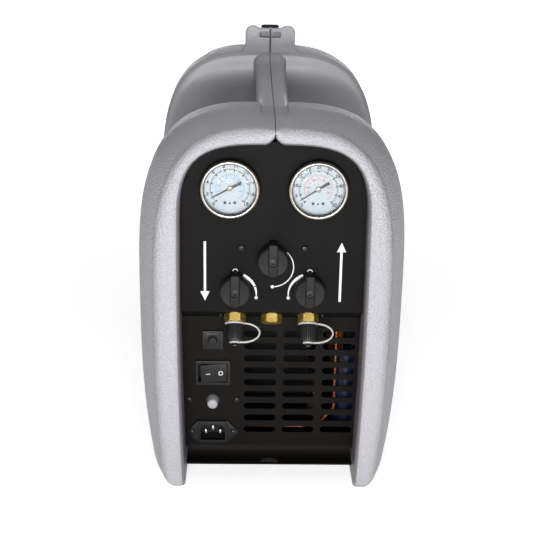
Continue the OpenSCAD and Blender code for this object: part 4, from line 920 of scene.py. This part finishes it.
# Divisions, labels, the step between figures and the step between inner figures
scales = {"input": (90, 9, 2, 20), "output": (50, 10, 5, 70)}
case_black = principled("gauge_case_black", {
    "Base Color": mottled(150, 3.0, (26, 26, 27), (46, 46, 48)),
    "Roughness": uneven(0.35, 400, 2.0, 0.15),
})
dress(case_black, "gauge_cases")
rolled = [(gauge_r - inward, out) for inward, out in (
    (0.5, 0), (0, 0.4), (0, 2.2), (0.5, 2.7), (0.5, 3.2), (0, 3.8), (0, 6.4), (0.25, 7.4), (0.9, 8.3),
    (1.7, 8.85), (2.5, 9.0), (3.4, 8.75), (3.95, 8.2), (4.15, 7.6), (0.8, 7.5), (0.8, 0))]
polished = principled("polished_steel", {
    "Base Color": mottled(200, 3.0, (124, 119, 112), (156, 151, 144)),
    "Metallic": 1.0,
    "Roughness": uneven(0.15, 400, 2.0, 0.08),
})
bezel = smoothed(lathe("bezel", rolled + [rolled[0]], 96), 60)
bezels = copies("gauge_bezel_rings", bezel, gauge_seats)
bezels.data.materials.append(polished)
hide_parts("gauge_bezels")
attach(bezels, "machine")


def ink_text(words, size, x, y, low):
    """Figures for a dial, as flat ink centred on a point."""
    made = added(bpy.ops.object.text_add, "figures")
    made.data.body = words
    made.data.size = size * MM
    made.data.align_x = made.data.align_y = "CENTER"
    made.data.resolution_u = 3
    made.data.extrude = 0.02 * MM
    made.data.offset = size * 0.03 * MM
    bpy.ops.object.convert(target="MESH")
    made = bpy.context.object
    made.data.transform(Matrix.Translation(Vector((x, y, low)) * MM))
    return made


def tick(angle, inner, outer, wide, low):
    a = radians(angle)
    way, across = Vector((cos(a), sin(a))), Vector((-sin(a), cos(a))) * wide / 2
    corners = [way * inner - across, way * outer - across, way * outer + across, way * inner + across]
    return flat("tick", [(c.x, c.y) for c in corners], low, low + ink_rise)


def scale_ring(r, wide):
    """A thin arc of ink along the whole scale."""
    arc = swept_band(0, 0, r, scale_start, scale_start + scale_sweep, wide, wide, 64)
    return flat("ring", arc, dial_face, dial_face + ink_rise)


def inked_scale(marks, material):
    piece = joined("ink", marks)
    piece.data.materials.clear()
    piece.data.materials.append(material)
    return piece


def dial_painted_shade(x):
    """White dial, with painted shade on its upper rim: a teal crescent for the bezel's shadow seen through
    the thick glass edge.
    """
    def made(sh):
        at = sh.node("VectorMath", {"operation": "DISTANCE"},
                     {0: place(sh), 1: (x * MM, (panel_y - dial_face) * MM, (gauge_z - 4.0) * MM)},
                     out="Value")
        rim = at.above(0.0257, 0.0005)
        paper = blend_colours(sh, speckle(sh, 120, 3.0), colour(176, 182, 188), colour(192, 198, 204))
        return blend_colours(sh, rim * 0.85, paper, colour(112, 158, 160))
    return made


def dial_ink(name, dark, light):
    return principled(name, {"Base Color": mottled(800, 2.0, dark, light), "Roughness": 0.5})


ink_black = dial_ink("dial_black", (22, 24, 28), (42, 44, 48))
dial_inks = {"input": dial_ink("dial_blue", (70, 134, 182), (98, 156, 200)),
             "output": dial_ink("dial_red", (190, 62, 70), (208, 88, 92))}
for side, x in gauge_places.items():
    plate = lathe(side + "_plate", [
        (0, dial_face), (22, dial_face), (24.0, dial_face), (24.4, dial_face - 0.1),
        (24.6, 1.2), (24.6, 1.0), (0, 1.0)], 96)
    plate.data.materials.append(principled(side + "_dial_white", {
        "Base Color": dial_painted_shade(x), "Roughness": uneven(0.42, 300, 2.0, 0.08)}))
    divisions, labels, figure_step, inner_step = scales[side]
    each = divisions // labels
    black, tinted = [], []
    for k in range(divisions + 1):
        angle = scale_start + scale_sweep * k / divisions
        major = k % each == 0
        middle = k % each == each // 2 and side == "input"
        start = tick_major if major else tick_middle if middle else tick_minor
        black.append(tick(angle, start, tick_end, 1.0 if major else 0.5, dial_face))
        if k % 2 == 0:
            start = inner_major if major else inner_minor
            tinted.append(tick(angle, start, inner_end, 0.5 if major else 0.32, dial_face))
    if side == "output":
        black.append(scale_ring(16.6, 0.3))
    tinted.append(scale_ring(12.7, 0.22))
    for k in range(labels + 1):
        a = radians(scale_start + scale_sweep * k / labels)
        black.append(ink_text(str(k * figure_step), 4.4, figure_r * cos(a), figure_r * sin(a),
                              dial_face + 0.03))
        if 0 < k < labels:
            tinted.append(ink_text(str(k * inner_step), 2.1, inner_figure_r * cos(a),
                                   inner_figure_r * sin(a), dial_face + 0.02))
    for dx, r in ((-4.4, 1.35), (0, 0.9), (4.4, 1.35)):
        black.append(flat("stud", dot(dx, -13.2 - (dx == 0) * 0.5, r), dial_face, dial_face + 0.05))
    dial = joined(side + "_dial_printed", [
        plate, inked_scale(black, ink_black), inked_scale(tinted, dial_inks[side])])
    placed(dial, facing(x, panel_y, gauge_z))
    smoothed(dial, 30)
    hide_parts(side + "_dial")
    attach(dial, "machine")

# Pointers: thin black blades with a broad tail, pressed on a spindle under a
# small turned hub. Each turns with its gauge.
pointer_rest = {"input": 208.5, "output": 213.0}
pointer_reach = 19.6
pointer_black = principled("pointer_black", {
    "Base Color": mottled(400, 2.0, (24, 24, 26), (46, 46, 48)),
    "Roughness": uneven(0.4, 300, 2.0, 0.1),
})
hub_metal = principled("pointer_hub", {
    "Base Color": mottled(400, 2.0, (112, 108, 100), (142, 137, 128)),
    "Metallic": 0.8,
    "Roughness": uneven(0.3, 300, 2.0, 0.15),
})
for side, x in gauge_places.items():
    edge = [(-11.4, 1.35), (-3.6, 1.15), (-2.6, 0.75), (4, 0.7), (pointer_reach - 3, 0.4),
            (pointer_reach, 0.08)]
    blade = flat("blade", [(along_x, -half) for along_x, half in edge] + edge[::-1], 2.15, 2.65)
    bevelled(blade, 0.12, 2, 60)
    blade.data.materials.append(pointer_black)
    hub = lathe("hub", [(0, 3.5), (1.6, 3.5), (2.25, 3.3), (2.5, 2.9), (2.5, 2.1), (1.0, 2.1),
                        (1.0, -19.6), (0, -19.6)], 32)
    hub.data.materials.append(hub_metal)
    pointer = joined(side + "_pointer_blade", [blade, hub])
    pointer.data.transform(Matrix.Rotation(radians(pointer_rest[side]), 4, "Z"))
    placed(pointer, facing(x, panel_y, gauge_z))
    smoothed(pointer, 35)
    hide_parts(side + "_gauge_pointer")
    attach(pointer, side + "_pointer")

# Lenses: flat clear glass, one over each dial and pointer, held by the bezel's
# rolled lip.
glass, sh = blank_material("clear_glass")
shine = sh.node("BsdfGlossy", None, {"Color": (1, 1, 1, 1), "Roughness": 0.03})
clear = sh.node("BsdfTransparent", None, {"Color": (0.97, 0.985, 0.985, 1)})
edge_on = sh.node("Fresnel", None, {"IOR": 1.12})
wiped = speckle(sh, 18, 2.0)
pane = sh.node("MixShader", None, {0: edge_on * (0.75 + wiped * 0.2), 1: clear, 2: shine})
sh.node("OutputMaterial", None, {"Surface": pane})
lens = smoothed(lathe("glass", [(0, 7.35), (24.6, 7.35), (25.6, 6.8), (25.6, 5.5), (0, 5.5)], 64))
lenses = copies("gauge_glasses", lens, gauge_seats)
lenses.data.materials.append(glass)
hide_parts("gauge_lenses")
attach(lenses, "machine")

# Valves: an aluminium manifold behind the panel with three steel stems, each
# with a moulded pointer knob held by a socket screw in its face.
machined = principled("machined_aluminium", {
    "Base Color": mottled(220, 3.0, (160, 160, 158), (190, 190, 188)),
    "Metallic": 0.9,
    "Roughness": uneven(0.3, 500, 2.0, 0.15),
})
dress(machined, "valve_manifold")
dress(bright_steel, "input_stem", "recover_stem", "output_stem")
knob_r, nose_half, knob_top = 14.25, 4.5, 15.0
charcoal = principled("charcoal_knob", {
    "Base Color": lambda sh: blend_colours(sh, speckle(sh, 500, 2.0) * 0.7 + speckle(sh, 30, 3.0) * 0.4,
                                           colour(23, 21, 22), colour(34, 32, 33)),
    "Roughness": uneven(0.44, 160, 3.0, 0.14),
    "Specular IOR Level": 0.16,
}, grain(1200, 2.0), relief=0.0001, strength=0.35)


def valve_knob():
    disc = lathe("knob_disc", [
        (4.3, 1.5), (13.6, 1.5), (knob_r, 2.1), (knob_r, 11.0), (13.75, 12.3), (12.7, 13.0),
        (11.2, 12.8), (5.5, 12.2), (4.3, 12.2), (4.3, 1.5)], 72)
    nose = [(nose_half, 16.2), (4.0, 16.9), (2.6, 17.35)]
    tail = [(nose_half, -11.8), (4.0, -12.5), (2.6, -13.0)]
    outline = nose + [(0, 17.5)] + [(-x, y) for x, y in nose[::-1]]
    outline += [(-x, y) for x, y in tail] + [(0, -13.1)] + tail[::-1]
    bar = flat("knob_bar", outline, 1.8, knob_top)
    for v in bar.data.vertices:
        if v.co.z > 0.01:
            v.co.x *= 0.92
            v.co.y *= 0.985
    bevelled(bar, 0.8, 3, 50)
    for low, high, r in ((11.4, 17, 3.75), (0, 7.1, 4.2)):
        carved([bar], lathe("bore", [(0, low), (r, low), (r, high), (0, high)], 40))
    return smoothed(joined("knob", [disc, bar]), 40)


def socket_screw():
    head = lathe("socket_head", [
        (2.6, 14.5), (3.3, 14.4), (3.6, 14.0), (3.6, 11.5), (2.0, 11.5), (2.0, 3.0), (0, 3.0),
        (0, 14.5), (2.6, 14.5)], 40)
    carved([head], flat("socket", dot(0, 0, 1.85, 6), 12.6, 16))
    return smoothed(head, 40)


for valve, x, z in (("input", -34, 196), ("recover", 0, 225.5), ("output", 34, 196)):
    knob = placed(valve_knob(), facing(x, panel_y, z))
    knob.name = valve + "_pointer_knob"
    knob.data.materials.append(charcoal)
    screw = placed(socket_screw(), facing(x, panel_y, z))
    screw.name = valve + "_socket_screw"
    screw.data.materials.append(black_oxide)
    for piece, node, finish in ((knob, valve + "_knob", "knob"), (screw, valve + "_knob_screw", "screws")):
        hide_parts(node)
        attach(piece, valve + "_valve")

# Service ports: three brass fittings on the sloping ledge, two flare ends
# under black screw caps on rubber straps, and a short one under a brass cap.
brass = principled("bright_brass", {
    "Base Color": mottled(120, 4.0, (222, 178, 76), (252, 226, 146)),
    "Metallic": 0.9,
    "Roughness": uneven(0.2, 300, 3.0, 0.16),
})


port_xs = {"input": -34, "output": 34}
hex_flats, hex_chamfer, port_nut_l, purge_nut_l, purge_gap = 17.0, 0.75, 8, 8.5, 0.3
port_back, shank_r, thread_r, port_bore, flare_l, stub_l = -15, 6.0, 5.55, 2.0, 22.7, 6.4
thread_pitch, thread_depth = 1.1, 0.45


def hex_nut(length):
    """A hexagon bar with turned chamfers, from height 0."""
    r, flat_r = hex_flats / 2 / cos(pi / 6), hex_flats / 2
    nut = flat("hexagon", dot(0, 0, r, 6), 0, length)
    trim = lathe("chamfer", [(0, 0), (flat_r, 0), (r, hex_chamfer), (r, length - hex_chamfer),
                             (flat_r, length), (0, length)], 72)
    carved([nut], trim, "INTERSECT")
    return bevelled(nut, 0.18, 2, 25)


def flare_end(high):
    """A spigot with turned grooves for a thread, on a shank through the ledge."""
    profile = [(port_bore, port_back), (shank_r, port_back), (shank_r, 0), (thread_r, 0)]
    z = 1.0
    while z < high - 1.4:
        profile += [(thread_r, z), (thread_r - thread_depth, z + thread_pitch / 2)]
        z += thread_pitch
    profile += [(thread_r, high - 1.0), (thread_r - 0.9, high), (port_bore, high), (port_bore, port_back)]
    return lathe("spigot", profile, 40)


for side, x in port_xs.items():
    port = joined(side + "_flare_port", [hex_nut(port_nut_l), flare_end(flare_l)])
    smoothed(placed(port, ledge(x)), 30)
    port.data.materials.append(brass)
    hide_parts(side + "_port")
    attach(port, "machine")
stub = smoothed(placed(flare_end(stub_l), ledge(0)), 30)
stub.name = "purge_spigot"
nut = hex_nut(purge_nut_l)
carved([nut], lathe("hollow", [(0, -1), (5.7, -1), (5.7, 7.3), (0, 7.3)], 40))
nut.data.transform(Matrix.Translation((0, 0, purge_gap * MM)))
nut = smoothed(placed(nut, ledge(0)), 30)
nut.name = "purge_brass_cap"
for piece, node, body in ((stub, "purge_port", "machine"), (nut, "purge_cap", "purge_port_cap")):
    piece.data.materials.append(brass)
    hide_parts(node)
    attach(piece, body)

# Port caps: glossy black moulded caps, ribbed for the fingers, with a button
# on the end that holds the strap.
gloss_black = principled("gloss_black", {
    "Base Color": mottled(200, 2.0, (14, 14, 15), (27, 27, 29)),
    "Roughness": uneven(0.2, 300, 2.0, 0.1),
    "Coat Weight": 0.12,
})


def ribbed_cap():
    steps, ribs, rib_depth = 192, 24, 0.42
    rib_r, rib_low, rib_high = 7.5, 10.5, 24.5
    profile = [(5.75, 10.2), (7.6, 10.2), (8.0, 10.7), (8.0, 23.6), (7.7, 24.9), (6.9, 25.6), (2.6, 25.7),
               (2.6, 29.3), (3.3, 29.4), (3.5, 29.9), (3.3, 30.5), (2.6, 30.7), (0, 30.7), (0, 23.2),
               (5.75, 23.2), (5.75, 10.2)]
    rows = []
    for k in range(steps + 1):
        a = 2 * pi * (k % steps) / steps
        groove = rib_depth * max(0.0, cos(a * ribs)) ** 2
        cut = [(r - groove * (rib_r < r and rib_low < h < rib_high), h) for r, h in profile]
        rows.append([(r * cos(a), r * sin(a), h) for r, h in cut])
    return smoothed(facing_out(sheet_of("cap", rows)), 35)


for side, x in port_xs.items():
    cap = placed(ribbed_cap(), ledge(x))
    cap.name = side + "_ribbed_cap"
    cap.data.materials.append(gloss_black)
    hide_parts(side + "_cap")
    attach(cap, side + "_port_cap")

# Cap straps: pale grey rubber, a ring behind the cap, a flat loop out to the
# right and an eye over the cap's button, moulded in one piece.
pale_rubber = principled("pale_rubber", {
    "Base Color": mottled(150, 3.0, (176, 174, 170), (206, 205, 202)),
    "Roughness": uneven(0.42, 250, 2.0, 0.12),
})
strap_t, strap_band, strap_start, strap_reach = 1.6, 2.8, 7.5, 23.8
ring_bore, ring_r, neck_z = 5.85, 9.5, 8.3
eye_bore, eye_r, eye_z = 2.9, 5.2, 26.0


def strap_ring(name, bore, r, z, steps):
    """A flat ring with softened outer corners."""
    return lathe(name, [(bore, z), (r - 0.4, z), (r, z + 0.5), (r, z + 1.1), (r - 0.4, z + strap_t),
                        (bore, z + strap_t), (bore, z)], steps)


def strap_loop():
    ring = strap_ring("ring", ring_bore, ring_r, neck_z, 56)
    eye = strap_ring("eye", eye_bore, eye_r, eye_z, 40)
    rise = (eye_z + strap_t - neck_z) / 2
    path = [Vector((strap_start + (strap_reach - strap_start - strap_t / 2) * cos(a), 0,
                    neck_z + rise + (rise - strap_t / 2) * sin(a)))
            for a in (radians(-90 + 180 * k / 40) for k in range(41))]
    path.append(Vector((3.8, 0, eye_z + strap_t / 2)))
    section = rounded_box(strap_t, strap_band, 0.55, 3)
    rows = []
    for k, p in enumerate(path):
        before, after = path[max(k - 1, 0)], path[min(k + 1, len(path) - 1)]
        way = (after - before).normalized()
        out = Vector((way.z, 0, -way.x))
        ring_points = [p + out * sx + Vector((0, sy, 0)) for sx, sy in section]
        rows.append([tuple(q) for q in ring_points] + [tuple(ring_points[0])])
    band = facing_out(sheet_of("band", rows))
    return smoothed(joined("strap", [ring, eye, band]), 40)


for side, x in port_xs.items():
    strap = placed(strap_loop(), ledge(x))
    strap.name = side + "_rubber_strap"
    strap.data.materials.append(pale_rubber)
    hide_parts(side + "_cap_strap")
    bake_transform(strap)

# Circuit breaker: a black moulded body that snaps into the front sheet, with a
# collar round its push button.
control_x = -55.0
switch_plastic = principled("switch_plastic", {
    "Base Color": mottled(300, 2.0, (18, 18, 19), (31, 31, 32)),
    "Specular IOR Level": 0.22,
    "Roughness": uneven(0.32, 200, 3.0, 0.14),
}, grain(1400, 1.0), relief=0.00008, strength=0.3)
breaker_z, body_back, hole_r, hole_back = 136.5, -26, 4.25, -12
plate_size, step_size, body_size = (20, 18.8), (13.6, 15), (17.6, 16.4)
plate = bevelled(flat("plate", rounded_box(*plate_size, 0.8, 3), 0, 2), 0.5, 3, 50)
step = bevelled(flat("step", rounded_box(*step_size, 0.8, 3), 1.5, 2.5), 0.3, 2, 50)
body = flat("body", rounded_box(*body_size, 0.5, 2), body_back, 0.5)
hole = lathe("hole", [(0, hole_back), (hole_r, hole_back), (hole_r, 8), (0, 8)], 40)
housing = carved([plate, step, body], hole)
housing.append(lathe("collar", [(hole_r, 2.3), (5.6, 2.3), (5.6, 2.7), (5.2, 3.0), (4.5, 3.0),
                                (hole_r, 2.8), (hole_r, 2.3)], 48))
push = lathe("breaker_push", [(0, 4.3), (2.6, 4.35), (3.5, 4.3), (3.95, 3.8), (4.0, 3.2), (4.0, -11.8),
                              (0, -11.8)], 48)
breaker_seat = facing(control_x, grille_y, breaker_z)
breaker = smoothed(placed(joined("breaker_housing", housing), breaker_seat), 35)
smoothed(placed(push, breaker_seat), 35)
for piece, node, body_name in ((breaker, "breaker_body", "machine"), (push, "breaker_button", "breaker")):
    piece.data.materials.append(switch_plastic)
    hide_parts(node)
    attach(piece, body_name)

# Rocker switch: a snap-in frame and a dished rocker with a line and a ring
# printed on its two halves. It lies pressed on the ring's side.
rocker_z, pivot_out, rest_tilt = 102.4, -4.0, 8.0
rim_size, rim_t, box_size, box_back = (34, 25.8), 2.5, (30, 22), -22
pocket_size, pocket_back_z = (28, 19.6), -10
rim = bevelled(flat("rim", rounded_box(*rim_size, 1.5, 4), 0, rim_t), 0.7, 3, 50)
box = flat("box", rounded_box(*box_size, 0.5, 2), box_back, 0.5)
pocket = flat("pocket", rounded_box(*pocket_size, 0.6, 3), pocket_back_z, 10)
rocker_seat = facing(control_x, grille_y, rocker_z)
surround = smoothed(placed(joined("switch_surround", carved([rim, box], pocket)), rocker_seat), 35)
surround.data.materials.append(switch_plastic)
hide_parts("switch_frame")
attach(surround, "machine")
rocker_half, rocker_w = 12.6, 18.8
right_dish = [(5, -3), (rocker_half - 1, 4.5), (rocker_half - 0.1, 8), (0.72 * rocker_half, 7.35),
              (0.4 * rocker_half, 7.05)]
left_dish = [(-x, z) for x, z in right_dish]
dish = left_dish[:1] + right_dish + [(0, 6.95)] + left_dish[:0:-1]
paddle = extruded("paddle", [(x, rocker_w / 2, z) for x, z in dish], (0, -rocker_w, 0))
bevelled(paddle, 0.6, 3, 35)
paddle.data.materials.append(switch_plastic)
line = flat("line", oblong(-8.6, -0.4, -4.6, 0.4), 7.0, 7.5)
line.data.transform(Matrix.Rotation(radians(7), 4, "Y"))
ring = flat("ring", swept_band(6.6, 0, 1.9, 0, 359, 0.75, 0.75, 40), 7.0, 7.4)
ring.data.transform(Matrix.Translation((0, 0, 0.15 * MM)))
printing = joined("printing", [line, ring])
printing.data.materials.append(white_ink)
rocker = joined("rocker_paddle", [paddle, printing])
rest = Matrix.Translation((0, 0, pivot_out * MM)) @ Matrix.Rotation(radians(rest_tilt), 4, "Y")
rocker.data.transform(rest)
smoothed(placed(rocker, rocker_seat), 35)
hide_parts("power_rocker")
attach(rocker, "rocker")

# Reset button: a satin grey plunger through a threaded bush from the pressure
# switch behind the sheet.
reset_z = 73.8
reset_grey = principled("reset_grey", {
    "Base Color": mottled(300, 2.0, (150, 149, 151), (172, 171, 173)),
    "Roughness": uneven(0.38, 200, 3.0, 0.12),
})
plunger = lathe("reset_plunger", [(0, 11.95), (2.4, 12.0), (3.8, 11.8), (4.6, 11.2), (5.0, 10.3),
                                  (5.0, -9), (0, -9)], 56)
smoothed(placed(plunger, facing(control_x, grille_y, reset_z)), 35)
plunger.data.materials.append(reset_grey)
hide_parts("reset_button")
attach(plunger, "reset")

# Mains inlet: a black three-pin appliance inlet with screw ears, and flat
# nickel-plated pins in its cavity.
inlet_z = 39.5
flange_half, flange_t, ear_r, collar_size = 25, 2.6, 4, (28.4, 23.6)
shell_size, shell_back, cavity_back = (27, 19.6), -16, -13
pin_places, pin_back, pin_front = ((-7, -2), (0, 2), (7, -2)), -23, -2
lobes = [(flange_half - ear_r + ear_r * cos(radians(a)), ear_r * sin(radians(a)))
         for a in (-70, -35, 0, 35, 70)]
flange_outline = [(14.5, -12), *lobes, (14.5, 12), (-14.5, 12), *[(-x, -y) for x, y in lobes], (-14.5, -12)]
flange = bevelled(flat("flange", flange_outline, 0, flange_t), 0.6, 3, 40)
collar = bevelled(flat("collar", rounded_box(*collar_size, 2.2, 4), 0.5, 3.5), 0.7, 3, 40)
shell = flat("shell", rounded_box(*shell_size, 0.6, 2), shell_back, 0.6)
cavity = flat("cavity", [(-12, -8.2), (12, -8.2), (12, 4.2), (8, 8.2), (-8, 8.2), (-12, 4.2)],
              cavity_back, 8)
inlet_seat = facing(control_x, grille_y, inlet_z)
inlet = joined("mains_inlet_shell", carved([flange, collar, shell], cavity))
smoothed(placed(inlet, inlet_seat), 35)
inlet.data.materials.append(switch_plastic)
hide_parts("inlet_socket")
pins = []
for x, z in pin_places:
    pin = flat("pin", oblong(x - 1, z - 2, x + 1, z + 2), pin_back, pin_front)
    pins.append(bevelled(pin, 0.4, 2, 50))
blades = smoothed(placed(joined("inlet_blades", pins), inlet_seat), 35)
blades.data.materials.append(bright_steel)
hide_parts("inlet_pins")
for piece, finish in ((inlet, "switch_black"), (blades, "steel")):
    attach(piece, "machine")
